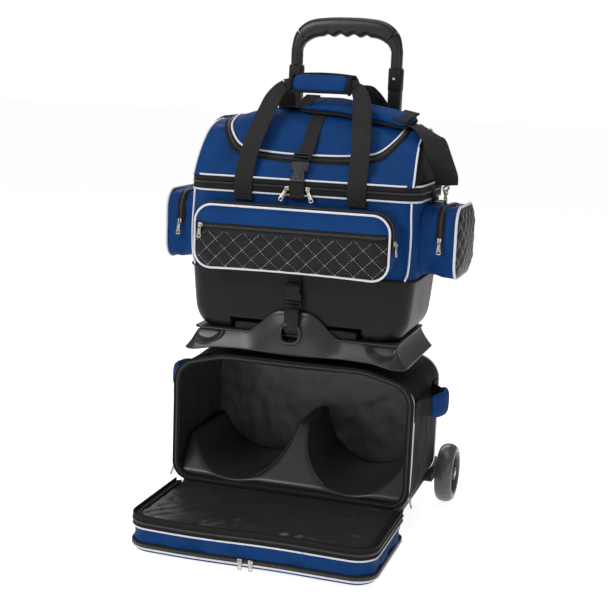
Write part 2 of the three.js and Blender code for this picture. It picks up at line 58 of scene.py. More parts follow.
# Lower bag
LOWER_HALF_WIDTH = 250
LOWER_BOTTOM_Z = 62
LOWER_SHOULDER_Z = 318
LOWER_TOP_Z = 339
LOWER_BACK_Y = 250
SEAT_RADIUS = 110.5
SEAT_X = 123
TRAY_SIDE_Z = 146.7
TRAY_LIP_Z = 80
TRAY_SLOPE = 1.152
SEAT_Z = 184.5
WHEEL_X = 272
AXLE_Y = 300
AXLE_Z = 53.5
FLAP_HALF_WIDTH = 243
FLAP_FRONT_Y = -240

# Tote and trolley
TUBE_X = 110
TUBE_Y = 306
TOTE_HALF_WIDTH = 232
TOTE_FRONT_Y = 12
TOTE_BACK_Y = 267
SHELL_TOP_Z = 511
BODY_TOP_Z = 661
BAND_TOP_Z = 693
POCKET_HALF_WIDTH = 195
POCKET_LOW_Z = 517
POCKET_TOP_Z = 641
POCKET_FRONT_Y = -50
POCKET_ZIP_Z = 601
POCKET_CORNER = 34
POCKET_QUILT_Z = 541
SIDE_SEAM_X = 300

# Trim
PIPING_RADIUS = 2.0
DIAMOND_WIDTH = 37
DIAMOND_HEIGHT = 35
UP = (0, 0, 1)
SIDES = (("left", -1), ("right", 1))


# ---- Shape tools: a shape is (points, faces, uv), points and uv in millimetres ----

def rounded_loop(corners, spacing=4.0, closed=True):
    """Evenly spaced points round [a, b, radius] corners."""
    count = len(corners)
    loop = []
    for i, (a, b, radius) in enumerate(corners):
        here = np.array((a, b), float)
        ends = not closed and i in (0, count - 1)
        if not radius or ends:
            loop.append(here)
            continue
        to_before = np.array(corners[i - 1][:2], float) - here
        to_after = np.array(corners[(i + 1) % count][:2], float) - here
        to_before /= np.linalg.norm(to_before)
        to_after /= np.linalg.norm(to_after)
        half = math.acos(np.clip(to_before @ to_after, -1, 1)) / 2
        middle = to_before + to_after
        centre = here + middle / np.linalg.norm(middle) * radius / math.sin(half)
        start = here + to_before * radius / math.tan(half) - centre
        end = here + to_after * radius / math.tan(half) - centre
        turn = math.atan2(start[0] * end[1] - start[1] * end[0], start @ end)
        for step in range(13):
            angle = turn * step / 12
            cos, sin = math.cos(angle), math.sin(angle)
            loop.append(centre + (start[0] * cos - start[1] * sin, start[0] * sin + start[1] * cos))
    return even(np.array(loop), spacing, closed)


def even(rows, spacing, closed=False):
    """Rows resampled at an even spacing along their first three columns (or two)."""
    rows = np.asarray(rows, float)
    if closed:
        rows = np.vstack([rows, rows[:1]])
    measured = rows[:, :3]
    steps = np.linalg.norm(np.diff(measured, axis=0), axis=1)
    along = np.concatenate([[0], np.cumsum(steps)])
    count = max(2, int(round(along[-1] / spacing)))
    stations = np.linspace(0, along[-1], count + 1)
    if closed:
        stations = stations[:-1]
    return np.column_stack([np.interp(stations, along, column) for column in rows.T])


def spline(rows, spacing=4.0, closed=False, steps=12):
    """A smooth curve through rows of numbers, resampled evenly."""
    rows = np.asarray(rows, float)
    if closed:
        ring = np.vstack([rows[-1:], rows, rows[:2]])
    else:
        ring = np.vstack([2 * rows[0] - rows[1], rows, 2 * rows[-1] - rows[-2]])
    curve = []
    for i in range(1, len(ring) - 2):
        p0, p1, p2, p3 = ring[i - 1:i + 3]
        for t in np.arange(steps) / steps:
            curve.append(0.5 * (2 * p1 + (p2 - p0) * t + (2 * p0 - 5 * p1 + 4 * p2 - p3) * t * t
                                + (3 * p1 - p0 - 3 * p2 + p3) * t ** 3))
    if not closed:
        curve.append(rows[-1])
    return even(np.array(curve), spacing, closed)


def rectangle(a0, b0, a1, b1, radius, spacing=4.0):
    corners = [(a0, b0, radius), (a1, b0, radius), (a1, b1, radius), (a0, b1, radius)]
    return rounded_loop(corners, spacing)


def mirrored(corners, centre=0):
    """The corners of a symmetric outline, from its right-hand ones in order down that side."""
    left = [(2 * centre - a, b, radius) for a, b, radius in corners]
    return left[:1] + corners + left[:0:-1]


def on_plane(loop, axis, value):
    """Outline points as 3-D points: (y, z) across x, (x, z) across y, (x, y) across z."""
    loop = np.asarray(loop, float)
    value = np.broadcast_to(np.asarray(value, float), (len(loop),))
    columns = {"x": (value, loop[:, 0], loop[:, 1]), "y": (loop[:, 0], value, loop[:, 1]),
               "z": (loop[:, 0], loop[:, 1], value)}[axis]
    return np.column_stack(columns)


def unit(vectors):
    vectors = np.asarray(vectors, float)
    lengths = np.linalg.norm(vectors, axis=-1, keepdims=True)
    return vectors / np.maximum(lengths, 1e-9)


def tangents(path, closed=False):
    """Unit directions along a path."""
    if closed:
        return unit(np.roll(path, -1, 0) - np.roll(path, 1, 0))
    return unit(np.gradient(path, axis=0))


def to_the_right(path, closed=False):
    """Unit directions square to a flat path, on the right of its travel."""
    along = tangents(path, closed)
    return np.column_stack([along[:, 1], -along[:, 0]])


def distances(path):
    """How far each point is along its path."""
    return np.linalg.norm(np.diff(path, axis=0, prepend=path[:1]), axis=1).cumsum()


def resampled(loop, count):
    """A fixed number of an outline's points, so that rings of different sizes match."""
    return loop[np.linspace(0, len(loop), count, endpoint=False).astype(int)]


def grid(points, closed_u=False, closed_v=False, uv=None):
    """Four-sided faces over a (rows, columns, 3) array."""
    rows, columns = points.shape[:2]
    index = np.arange(rows * columns).reshape(rows, columns)
    i = np.arange(rows if closed_u else rows - 1)
    j = np.arange(columns if closed_v else columns - 1)
    ii, jj = np.meshgrid(i, j, indexing="ij")
    next_i, next_j = (ii + 1) % rows, (jj + 1) % columns
    faces = np.stack([index[ii, jj], index[next_i, jj], index[next_i, next_j], index[ii, next_j]], -1)
    if uv is None:
        across = np.linalg.norm(np.diff(points, axis=1, prepend=points[:, :1]), axis=2)
        down = np.linalg.norm(np.diff(points, axis=0, prepend=points[:1]), axis=2)
        uv = np.stack([np.cumsum(across, axis=1), np.cumsum(down, axis=0)], -1)
    return points.reshape(-1, 3), faces.reshape(-1, 4).tolist(), np.asarray(uv).reshape(-1, 2)


def joined(*shapes):
    points, faces, uvs, start = [], [], [], 0
    for p, f, uv in shapes:
        points.append(p)
        uvs.append(uv)
        faces.extend([[v + start for v in face] for face in f])
        start += len(p)
    return np.vstack(points), faces, np.vstack(uvs)


def moved(shape, matrix):
    points, faces, uv = shape
    matrix = np.array(matrix)
    return points @ matrix[:3, :3].T + matrix[:3, 3], faces, uv


def basis(origin, x_axis, y_axis):
    """A matrix that takes a shape drawn in the XY plane to a place, with Z as its thickness."""
    x = unit(x_axis)
    z = unit(np.cross(x, y_axis))
    y = np.cross(z, x)
    matrix = np.eye(4)
    matrix[:3, 0], matrix[:3, 1], matrix[:3, 2], matrix[:3, 3] = x, y, z, origin
    return matrix


def sweep(path, profile, wide=None, closed=False, scales=None):
    """A profile of (across, out) points carried along a path. wide is the across direction at each
    point, or None for a steady frame; scales is (across, out) sizes along the path."""
    path = np.asarray(path, float)
    along = tangents(path, closed)
    if wide is None:
        wide = steady_frame(along, closed)
    wide = np.broadcast_to(np.asarray(wide, float), path.shape)
    wide = unit(wide - along * np.sum(wide * along, axis=1, keepdims=True))
    out = np.cross(wide, along)
    profile = np.asarray(profile, float)
    scales = np.ones((len(path), 2)) if scales is None else np.asarray(scales, float)
    a = profile[None, :, 0, None] * scales[:, None, 0, None]
    b = profile[None, :, 1, None] * scales[:, None, 1, None]
    points = path[:, None] + a * wide[:, None] + b * out[:, None]
    around = distances(profile)
    length = distances(path)
    uv = np.stack(np.broadcast_arrays(around[None, :], length[:, None]), -1)
    shape = grid(points, closed_u=closed, closed_v=True, uv=uv)
    if not closed:
        count, last = len(profile), (len(path) - 1) * len(profile)
        shape[1].append(list(range(count)))
        shape[1].append([last + i for i in reversed(range(count))])
    return shape


def steady_frame(along, closed):
    """Directions square to a path that turn as little as they can along it."""
    start = np.cross(along[0], (0.31, 0.17, 0.93))
    frames = [unit(start)]
    for step in along[1:]:
        last = frames[-1]
        frames.append(unit(last - step * (last @ step)))
    frames = np.array(frames)
    if closed:
        slip = frames[-1] - along[0] * (frames[-1] @ along[0])
        twist = math.atan2(np.cross(slip, frames[0]) @ along[0], slip @ frames[0])
        angles = twist * np.arange(len(along)) / len(along)
        frames = frames * np.cos(angles)[:, None] + np.cross(along, frames) * np.sin(angles)[:, None]
    return frames


def circle(radius, sides=10):
    angles = np.arange(sides) * 2 * math.pi / sides
    return np.column_stack([np.cos(angles), np.sin(angles)]) * radius


def oval(width, thickness, sides=24, power=2.0):
    """A closed section, rounder at power 2 and boxier above it."""
    angles = np.arange(sides) * 2 * math.pi / sides
    cos, sin = np.cos(angles), np.sin(angles)
    return np.column_stack([np.sign(cos) * np.abs(cos) ** (2 / power) * width / 2,
                            np.sign(sin) * np.abs(sin) ** (2 / power) * thickness / 2])


def tube(path, radius, closed=False, sides=10):
    return sweep(path, circle(radius, sides), closed=closed)


def lathe(profile, x, y, z, segments=64):
    """A closed ring turned about the X axis, from (radius, along) points."""
    profile = np.asarray(profile, float)
    angles = np.arange(segments) * 2 * math.pi / segments
    points = np.stack([
        np.broadcast_to(profile[None, :, 1] + x, (segments, len(profile))),
        y + np.cos(angles)[:, None] * profile[None, :, 0],
        z + np.sin(angles)[:, None] * profile[None, :, 0],
    ], -1)
    return grid(points, closed_u=True, closed_v=True)


def plate(outline, thickness, bevel, holes=()):
    """A flat piece with rounded edges, drawn in the XY plane and centred on it."""
    curve = bpy.data.curves.new("outline", "CURVE")
    curve.dimensions = "2D"
    curve.fill_mode = "BOTH"
    curve.extrude = thickness / 2 - bevel
    curve.bevel_depth = bevel
    curve.bevel_resolution = 2
    curve.offset = -bevel
    for loop in (outline, *holes):
        line = curve.splines.new("POLY")
        line.points.add(len(loop) - 1)
        for point, (a, b) in zip(line.points, loop):
            point.co = (a, b, 0, 1)
        line.use_cyclic_u = True
    holder = bpy.data.objects.new("outline", curve)
    mesh = bpy.data.meshes.new_from_object(holder)
    bm = bmesh.new()
    bm.from_mesh(mesh)
    bmesh.ops.remove_doubles(bm, verts=bm.verts, dist=0.01)
    points = np.array([v.co[:] for v in bm.verts], float)
    faces = [[v.index for v in face.verts] for face in bm.faces]
    bm.free()
    bpy.data.objects.remove(holder)
    bpy.data.meshes.remove(mesh)
    bpy.data.curves.remove(curve)
    return points, faces, points[:, :2].copy()


def normals(points, faces):
    mesh = bpy.data.meshes.new("normals")
    mesh.from_pydata([tuple(p) for p in points], [], faces)
    result = np.array([v.normal[:] for v in mesh.vertices])
    bpy.data.meshes.remove(mesh)
    return result


def creases(points, size, seed, stretch=(1, 1, 1)):
    """Cloth relief, mostly between -1 and 1: soft hills with a few sharper folds and finer bumps."""
    shift = np.array((seed * 3.7, seed * 1.3, seed * 2.9))
    values = []
    for p in np.asarray(points) * stretch / size + shift:
        hills = noise.noise(Vector(p))
        fold = 1 - 2.2 * abs(noise.noise(Vector(p * 0.7 + 11.3)))
        fine = noise.noise(Vector(p * 2.8 + 5.1))
        values.append(1.2 * hills + 0.5 * max(fold, -1) ** 3 + 0.45 * fine)
    return np.array(values)


def creased(shape, amount, size, seed, stretch=(1, 1, 1), hold=None):
    """The shape with cloth relief pushed along its normals; hold scales it down point by point."""
    points, faces, uv = shape
    push = creases(points, size, seed, stretch) * amount
    if hold is not None:
        push = push * hold
    return points + normals(points, faces) * push[:, None], faces, uv


def smooth_step(value, low, high):
    t = np.clip((np.asarray(value, float) - low) / (high - low), 0, 1)
    return t * t * (3 - 2 * t)


def inside_rounded(a, b, a0, b0, a1, b1, radius):
    """Distance inwards from a rounded rectangle's edge, negative outside."""
    qa = np.abs(a - (a0 + a1) / 2) - (a1 - a0) / 2 + radius
    qb = np.abs(b - (b0 + b1) / 2) - (b1 - b0) / 2 + radius
    outside = np.hypot(np.maximum(qa, 0), np.maximum(qb, 0))
    return radius - outside - np.minimum(np.maximum(qa, qb), 0)


def diamond_puff(a, b):
    """Height of quilting between its diamond stitch lines, 0 on a line and 1 in a diamond's middle."""
    u, v = a / DIAMOND_WIDTH + b / DIAMOND_HEIGHT, a / DIAMOND_WIDTH - b / DIAMOND_HEIGHT
    return (np.abs(np.sin(math.pi * u)) * np.abs(np.sin(math.pi * v))) ** 0.45


def filled(outline, spacing=4.0):
    """Rings of a flat outline shrinking to its long middle line, as a (rings, points, 2) array."""
    outline = np.asarray(outline, float)
    low, high = outline.min(0), outline.max(0)
    half = min(high - low) / 2
    middle = np.clip(outline, low + half, np.maximum(high - half, low + half))
    rings = max(4, int(half / spacing))
    steps = np.linspace(0, 1, rings + 1)[:, None, None]
    return outline * (1 - steps) + middle * steps


def disc(outline, spacing, axis, value):
    """A filled panel in the plane that stands across an axis."""
    return grid(np.stack([on_plane(ring, axis, value) for ring in filled(outline, spacing)]), closed_v=True)


def make(name, shape, material, body, replaces=(), creased_edges=False):
    """A Blender piece from a shape, riding on its body if it has one, with its material."""
    points, faces, uv = shape
    mesh = bpy.data.meshes.new(name)
    placed = (points + (0, FRONT_PLANE_Y, -FLOOR_Z)) / 1000
    mesh.from_pydata([tuple(p) for p in placed], [], [tuple(f) for f in faces])
    layer = mesh.uv_layers.new(name="UVMap")
    corners = np.zeros(len(mesh.loops), np.int32)
    mesh.loops.foreach_get("vertex_index", corners)
    layer.data.foreach_set("uv", (np.asarray(uv)[corners] / 1000).ravel())
    bm = bmesh.new()
    bm.from_mesh(mesh)
    bmesh.ops.remove_doubles(bm, verts=bm.verts, dist=2e-5)
    bmesh.ops.recalc_face_normals(bm, faces=bm.faces)
    bm.to_mesh(mesh)
    bm.free()
    mesh.polygons.foreach_set("use_smooth", [True] * len(mesh.polygons))
    if creased_edges:
        mesh.set_sharp_from_angle(angle=math.radians(42))
    mesh.materials.append(material)
    piece = bpy.data.objects.new(name, mesh)
    bpy.context.collection.objects.link(piece)
    if body:
        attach(piece, body)
    if replaces:
        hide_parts(*replaces)
    return piece


def thicken(piece, thickness, offset=-1):
    shell = piece.modifiers.new("thickness", "SOLIDIFY")
    shell.thickness = thickness / 1000
    shell.offset = offset
    return piece


def puff_up(piece, pressure, cap, voxel=5):
    """Blows a closed pad up with cloth, lets no point move further than cap, and keeps the result."""
    remesh = piece.modifiers.new("remesh", "REMESH")
    remesh.mode = "VOXEL"
    remesh.voxel_size = voxel / 1000
    remesh.use_smooth_shade = True
    apply_modifiers(piece)
    start = positions(piece.data)
    cloth = piece.modifiers.new("cloth", "CLOTH")
    cloth.settings.use_pressure = True
    cloth.settings.uniform_pressure_force = pressure
    cloth.settings.quality = 4
    cloth.settings.effector_weights.gravity = 0
    cloth.collision_settings.use_collision = False
    for step in range(1, 21):
        bpy.context.scene.frame_set(step)
    apply_modifiers(piece)
    bpy.context.scene.frame_set(1)
    push = positions(piece.data) - start
    length = np.linalg.norm(push, axis=1, keepdims=True)
    push *= np.minimum(1, cap / 1000 / np.maximum(length, 1e-9))
    piece.data.vertices.foreach_set("co", (start + push).ravel())
    piece.data.update()
    finer = piece.modifiers.new("finer", "SUBSURF")
    finer.levels = 1
    finer.render_levels = 1
    return piece


def positions(mesh):
    flat = np.zeros(len(mesh.vertices) * 3)
    mesh.vertices.foreach_get("co", flat)
    return flat.reshape(-1, 3)


def apply_modifiers(piece):
    graph = bpy.context.evaluated_depsgraph_get()
    baked = bpy.data.meshes.new_from_object(piece.evaluated_get(graph))
    old = piece.data
    piece.modifiers.clear()
    piece.data = baked
    bpy.data.meshes.remove(old)
    for polygon in piece.data.polygons:
        polygon.use_smooth = True


# ---- Camera, lights and floor ----

CAMERA_PLACE = (702.3, -2221.2, 881.8)
CAMERA_TARGET = (7.1, 45.2, 445.9)
CAMERA_ROLL = math.radians(2.27)
CAMERA_LENS = 71.44
ROOM_LIGHT = 0.2
BACKDROP_LIGHT = 1.0
FLOOR_REACH = 30
FLOOR_DROP = 0.0006


def metres(x, y, z):
    return Vector((x, y + FRONT_PLANE_Y, z - FLOOR_Z)) / 1000


def aimed(place, target, roll=0.0):
    ahead = (target - place).normalized()
    right = ahead.cross(Vector(UP)).normalized()
    up = right.cross(ahead)
    turned_right = right * math.cos(roll) + up * math.sin(roll)
    turned_up = up * math.cos(roll) - right * math.sin(roll)
    rotation = Matrix((turned_right, turned_up, -ahead)).transposed()
    return Matrix.Translation(place) @ rotation.to_4x4()


def add_camera():
    lens = bpy.data.cameras.new("camera")
    lens.lens = CAMERA_LENS
    lens.sensor_width = 36
    camera = bpy.data.objects.new("camera", lens)
    bpy.context.collection.objects.link(camera)
    camera.matrix_world = aimed(metres(*CAMERA_PLACE), metres(*CAMERA_TARGET), CAMERA_ROLL)
    bpy.context.scene.camera = camera


def add_softbox(name, place, target, size, power):
    light = bpy.data.lights.new(name, "AREA")
    light.shape = "RECTANGLE"
    light.size, light.size_y = size
    light.energy = power
    holder = bpy.data.objects.new(name, light)
    bpy.context.collection.objects.link(holder)
    holder.matrix_world = aimed(metres(*place), metres(*target))


def add_lights():
    add_softbox("key_light", (-1500, -2300, 2300), (0, 0, 480), (1.5, 1.1), 62)
    add_softbox("fill_light", (2500, -1500, 1300), (0, 0, 450), (1.4, 1.8), 13)
    add_softbox("top_light", (100, 200, 2900), (0, 60, 500), (2.2, 1.6), 30)
    add_softbox("back_light", (-800, 2600, 1900), (0, 0, 500), (2.0, 1.4), 22)
    add_softbox("low_light", (300, -2700, 350), (0, -100, 250), (2.4, 0.5), 5)


def add_world():
    """Plain white where the camera sees it, and a dim light on the bag."""
    world = bpy.data.worlds.new("studio")
    bpy.context.scene.world = world
    world.use_nodes = True
    backdrop = world.node_tree.nodes["Background"]
    backdrop.inputs["Color"].default_value = (1, 1, 1, 1)
    seen = world.node_tree.nodes.new("ShaderNodeLightPath")
    strength = world.node_tree.nodes.new("ShaderNodeMapRange")
    strength.inputs["To Min"].default_value = ROOM_LIGHT
    strength.inputs["To Max"].default_value = BACKDROP_LIGHT
    world.node_tree.links.new(seen.outputs["Is Camera Ray"], strength.inputs["Value"])
    world.node_tree.links.new(strength.outputs[0], backdrop.inputs["Strength"])
    bpy.context.scene.view_settings.view_transform = "Standard"


def add_floor():
    mesh = bpy.data.meshes.new("floor")
    square = ((-1, -1), (1, -1), (1, 1), (-1, 1))
    corners = [(a * FLOOR_REACH, b * FLOOR_REACH, -FLOOR_DROP) for a, b in square]
    mesh.from_pydata(corners, [], [(0, 1, 2, 3)])
    floor = bpy.data.objects.new("floor", mesh)
    bpy.context.collection.objects.link(floor)
    mesh.materials.append(floor_paper())


# ---- Materials ----


class Nodes:
    """A material's node tree, with short ways to add what the finishes below share. Other sockets of the
    shader are given by name, with _ for a space."""

    def __init__(self, name, colour, roughness, metallic=0.0, **sockets):
        self.material = bpy.data.materials.new(name)
        self.material.use_nodes = True
        self.tree = self.material.node_tree
        self.shader = self.tree.nodes["Principled BSDF"]
        self.place = self.add("ShaderNodeTexCoord").outputs["Object"]
        self.uv = self.add("ShaderNodeTexCoord").outputs["UV"]
        self.colour = colour
        self.shader.inputs["Base Color"].default_value = (*colour, 1)
        self.shader.inputs["Roughness"].default_value = roughness
        self.shader.inputs["Metallic"].default_value = metallic
        for socket, value in sockets.items():
            self.shader.inputs[socket.replace("_", " ")].default_value = value

    def add(self, kind, **values):
        node = self.tree.nodes.new(kind)
        for key, value in values.items():
            setattr(node, key, value)
        return node

    def link(self, output, socket):
        self.tree.links.new(output, socket)

    def math(self, operation, a, b=0.0):
        node = self.add("ShaderNodeMath", operation=operation)
        for socket, value in zip(node.inputs, (a, b)):
            if isinstance(value, (int, float)):
                socket.default_value = value
            else:
                self.link(value, socket)
        return node.outputs[0]

    def noise(self, per_metre, detail=4.0, stretch=(1, 1, 1)):
        mapping = self.add("ShaderNodeMapping")
        mapping.inputs["Scale"].default_value = stretch
        self.link(self.place, mapping.inputs["Vector"])
        node = self.add("ShaderNodeTexNoise")
        node.inputs["Scale"].default_value = per_metre
        node.inputs["Detail"].default_value = detail
        self.link(mapping.outputs[0], node.inputs["Vector"])
        return node.outputs["Fac"]

    def ridges(self, direction, pitch_mm, source=None):
        """A sine of 0 to 1 along a direction, one ridge every pitch_mm."""
        dot = self.add("ShaderNodeVectorMath", operation="DOT_PRODUCT")
        self.link(source or self.place, dot.inputs[0])
        dot.inputs[1].default_value = tuple(unit(direction) * 2 * math.pi * 1000 / pitch_mm)
        wave = self.math("SINE", dot.outputs["Value"])
        return self.math("ADD", self.math("MULTIPLY", wave, 0.5), 0.5)

    def ramp(self, factor, low, high):
        """Takes a 0 to 1 factor to the range from low to high."""
        node = self.add("ShaderNodeMapRange")
        node.inputs["To Min"].default_value = low
        node.inputs["To Max"].default_value = high
        self.link(factor, node.inputs["Value"])
        return node.outputs[0]

    def tint(self, factor, dark, light):
        """Varies the colour from dark to light times itself by a 0 to 1 factor."""
        strength = self.ramp(factor, dark, light)
        scale = self.add("ShaderNodeVectorMath", operation="SCALE")
        source = self.shader.inputs["Base Color"]
        if source.is_linked:
            self.link(source.links[0].from_socket, scale.inputs[0])
        else:
            scale.inputs[0].default_value = self.colour
        self.link(strength, scale.inputs["Scale"])
        self.link(scale.outputs[0], source)

    def gloss(self, factor, low, high):
        self.link(self.ramp(factor, low, high), self.shader.inputs["Roughness"])

    def bump(self, height, depth_mm, strength=1.0):
        node = self.add("ShaderNodeBump")
        node.inputs["Strength"].default_value = strength
        node.inputs["Distance"].default_value = depth_mm / 1000
        self.link(height, node.inputs["Height"])
        normal = self.shader.inputs["Normal"]
        if normal.is_linked:
            self.link(normal.links[0].from_socket, node.inputs["Normal"])
        self.link(node.outputs[0], normal)


def woven(name, colour, weave_mm, band_mm, roughness, sheen, band=0.2, specular=0.1):
    """Nylon cloth: a fine basket weave crossed by faint diagonal bands, with uneven dye and dust, and painted
    shade in the valleys of both.
    """
    n = Nodes(name, colour, roughness, Sheen_Weight=sheen, Sheen_Roughness=0.4, Specular_IOR_Level=specular)
    over = n.ridges((1, 1, 1), weave_mm)
    under = n.ridges((1, -0.3, -1), weave_mm)
    threads = n.math("MULTIPLY", over, under)
    bands = n.ridges((0.8, 0.5, 1), band_mm)
    dye = n.noise(16, 5)
    # Painted shade and light: darker in the valleys of the bands and of the weave, lighter on their crests,
    # in step with the bumps below.
    n.tint(bands, 1 - band, 1 + band)
    n.tint(threads, 0.8, 1.15)
    n.tint(dye, 0.65, 1.25)
    n.gloss(n.noise(60, 4), roughness - 0.1, min(1.0, roughness + 0.12))
    n.bump(bands, 0.12)
    n.bump(threads, 0.22)
    n.bump(n.noise(20, 4, (1, 1, 0.7)), 6.0, 0.7)
    return n.material


def ribbed_webbing():
    """Belt webbing: cross ribs from the mesh, with a chevron of yarns in each, painted darker in their
    valleys and paler on their crests as painted shade and light.
    """
    n = Nodes("black_webbing", (0.019, 0.0175, 0.0175), 0.72, Sheen_Weight=0.015, Specular_IOR_Level=0.14)
    ribs = n.ridges((0, 1, 0), 3.4, n.uv)
    yarns = n.ridges((1, 0.35, 0), 1.3, n.uv)
    # Painted shade and light: darker in the valleys of the ribs and yarns, paler on their crests.
    n.tint(ribs, 0.7, 1.25)
    n.tint(yarns, 0.85, 1.1)
    n.tint(n.noise(30, 4), 0.8, 1.25)
    n.bump(ribs, 0.5)
    n.bump(yarns, 0.18)
    n.gloss(n.noise(90, 3), 0.6, 0.85)
    return n.material


def zip_cloth():
    """Zip tape: a tight herringbone with a fine lengthwise rib, its valleys darkened with painted shade."""
    n = Nodes("zip_tape", (0.0105, 0.0103, 0.011), 0.75, Specular_IOR_Level=0.14)
    # Painted shade: the rib's valleys darker and its crests lighter, in step with the bump below.
    n.tint(n.ridges((1, 0.9, 0), 1.4, n.uv), 0.8, 1.2)
    n.tint(n.noise(40, 4), 0.8, 1.3)
    n.bump(n.ridges((1, 0.9, 0), 1.4, n.uv), 0.2)
    n.gloss(n.noise(70, 3), 0.6, 0.85)
    return n.material


def zip_teeth():
    """The coil of a zip: close-set nylon turns with a dull shine, and painted shade in the gaps between them.
    """
    n = Nodes("zip_coil", (0.017, 0.017, 0.018), 0.42)
    turns = n.ridges((0, 1, 0), 1.6, n.uv)
    # Painted shade: darker in the gaps between turns, lighter on the turns.
    n.tint(turns, 0.45, 1.3)
    n.bump(turns, 0.6)
    n.gloss(n.noise(80, 3), 0.35, 0.55)
    return n.material


def satin_lining():
    n = Nodes("black_lining", (0.017, 0.0155, 0.0175), 0.36, Sheen_Weight=0.02, Specular_IOR_Level=0.7)
    weave = n.math("MULTIPLY", n.ridges((1, 0.05, 0.1), 0.9), n.ridges((0.05, 1, 0.9), 0.9))
    # Painted shade: the weave's valleys darker and its crossings lighter, in step with the bump below.
    n.tint(weave, 0.88, 1.1)
    n.tint(n.noise(10, 5), 0.75, 1.25)
    n.gloss(n.noise(26, 4), 0.3, 0.46)
    n.bump(weave, 0.08)
    n.bump(n.noise(18, 3, (1.6, 0.8, 1)), 3.0, 0.6)
    return n.material


def quilted_cloth():
    n = Nodes("quilted_black", (0.005, 0.0047, 0.0055), 0.36, Sheen_Weight=0.01, Specular_IOR_Level=0.2)
    weave = n.math("MULTIPLY", n.ridges((1, 1, 1), 1.0), n.ridges((1, -0.3, -1), 1.0))
    # Painted shade: the weave's valleys darker and its crossings lighter, in step with the bump below.
    n.tint(weave, 0.75, 1.35)
    n.tint(n.noise(40, 5), 0.7, 1.3)
    n.gloss(n.noise(55, 4), 0.32, 0.52)
    n.bump(weave, 0.2)
    n.bump(n.noise(110, 3), 0.6, 0.5)
    return n.material


def moulded(name, colour, low, high, grain_mm=0.25, scuffs=0.25, specular=0.32):
    """Moulded plastic: fine spark-eroded grain, slow shine changes and a few pale scuffs."""
    n = Nodes(name, colour, (low + high) / 2, Specular_IOR_Level=specular)
    scuff = n.math("POWER", n.noise(70, 8, (1, 1, 0.3)), 6)
    n.tint(n.noise(7, 4), 0.85, 1.15)
    n.tint(scuff, 1.0, 1 + 6 * scuffs)
    n.gloss(n.noise(14, 6), low, high)
    n.bump(n.noise(1300, 2), grain_mm, 0.6)
    n.bump(n.noise(9, 3), 1.6, 0.35)
    return n.material


def metal(name, colour, low, high, brushed=(1, 1, 1), wear=0.35):
    n = Nodes(name, colour, (low + high) / 2, 1.0)
    n.tint(n.noise(260, 6), 1 - wear, 1 + wear)
    n.gloss(n.noise(180, 5, brushed), low, high)
    n.bump(n.noise(700, 3, brushed), 0.08, 0.5)
    return n.material


def anodised():
    n = Nodes("anodised_black", (0.016, 0.016, 0.018), 0.3, 0.55)
    n.tint(n.noise(25, 4, (1, 1, 0.1)), 0.85, 1.2)
    n.gloss(n.noise(60, 5, (1, 1, 0.04)), 0.2, 0.38)
    n.bump(n.noise(900, 2, (1, 1, 0.03)), 0.04, 0.5)
    return n.material


def urethane():
    """Smoke-tinted wheel rubber: half clear, with swirls inside."""
    n = Nodes("urethane_smoke", (0.115, 0.108, 0.098), 0.3, Transmission_Weight=0.3, IOR=1.46,
              Subsurface_Weight=0.12, Subsurface_Radius=(0.006, 0.006, 0.005))
    n.tint(n.noise(22, 6), 0.65, 1.35)
    n.gloss(n.noise(60, 5), 0.2, 0.42)
    n.bump(n.noise(400, 3), 0.1, 0.5)
    return n.material


def piping_cord():
    n = Nodes("white_piping", (0.66, 0.66, 0.71), 0.5, Specular_IOR_Level=0.4)
    twist = n.ridges((0.6, 1, 0), 2.2, n.uv)
    # Painted shade: the grooves of the twist darker and its wraps lighter, in step with the bump below.
    n.tint(twist, 0.93, 1.04)
    n.tint(n.noise(50, 4), 0.9, 1.07)
    n.gloss(n.noise(60, 3), 0.4, 0.62)
    n.bump(twist, 0.14)
    return n.material


def stitch_thread():
    n = Nodes("quilt_thread", (0.42, 0.42, 0.46), 0.7)
    strands = n.ridges((1, 1.5, 0), 0.8, n.uv)
    # Painted shade: the grooves between strands darker and the strands lighter, in step with the bump below.
    n.tint(strands, 0.75, 1.15)
    n.tint(n.noise(90, 3), 0.85, 1.15)
    n.bump(strands, 0.12)
    return n.material


def cell_foam():
    n = Nodes("foam_black", (0.016, 0.016, 0.017), 0.9)
    n.tint(n.noise(350, 4), 0.6, 1.4)
    n.gloss(n.noise(200, 3), 0.8, 1.0)
    n.bump(n.noise(800, 4), 0.7, 0.8)
    return n.material


def floor_paper():
    n = Nodes("floor_paper", (0.6, 0.6, 0.6), 0.95,
              Specular_IOR_Level=0.1, Emission_Color=(1, 1, 1, 1), Emission_Strength=0.86)
    n.tint(n.noise(3, 2), 0.995, 1.005)
    return n.material


BLUE = woven("blue_nylon", (0.0022, 0.040, 0.160), 1.5, 4.6, 0.62, 0.012)
BLACK = woven("black_nylon", (0.0042, 0.0038, 0.0046), 1.3, 4.0, 0.7, 0.01)
LINING = satin_lining()
WEBBING = ribbed_webbing()
ZIP_TAPE = zip_cloth()
ZIP_COIL = zip_teeth()
QUILT = quilted_cloth()
THREAD = stitch_thread()
PIPING = piping_cord()
MOULDED = moulded("moulded_black", (0.0055, 0.0051, 0.0062), 0.34, 0.5, specular=0.18)
GRIP = moulded("moulded_black", (0.0125, 0.0122, 0.0135), 0.26, 0.4, 0.12, 0.1)
BUCKLE = moulded("moulded_black", (0.032, 0.031, 0.034), 0.24, 0.4, 0.12, 0.1)
PLATFORM = moulded("moulded_grey", (0.024, 0.0235, 0.0255), 0.22, 0.4, 0.12)
FOAM = cell_foam()
URETHANE = urethane()
HUB = moulded("hub_plastic", (0.05, 0.05, 0.053), 0.3, 0.45)
NICKEL = metal("steel", (0.46, 0.42, 0.35), 0.22, 0.42)
ANODISED = anodised()


# ---- Trim that is used all over the bag ----

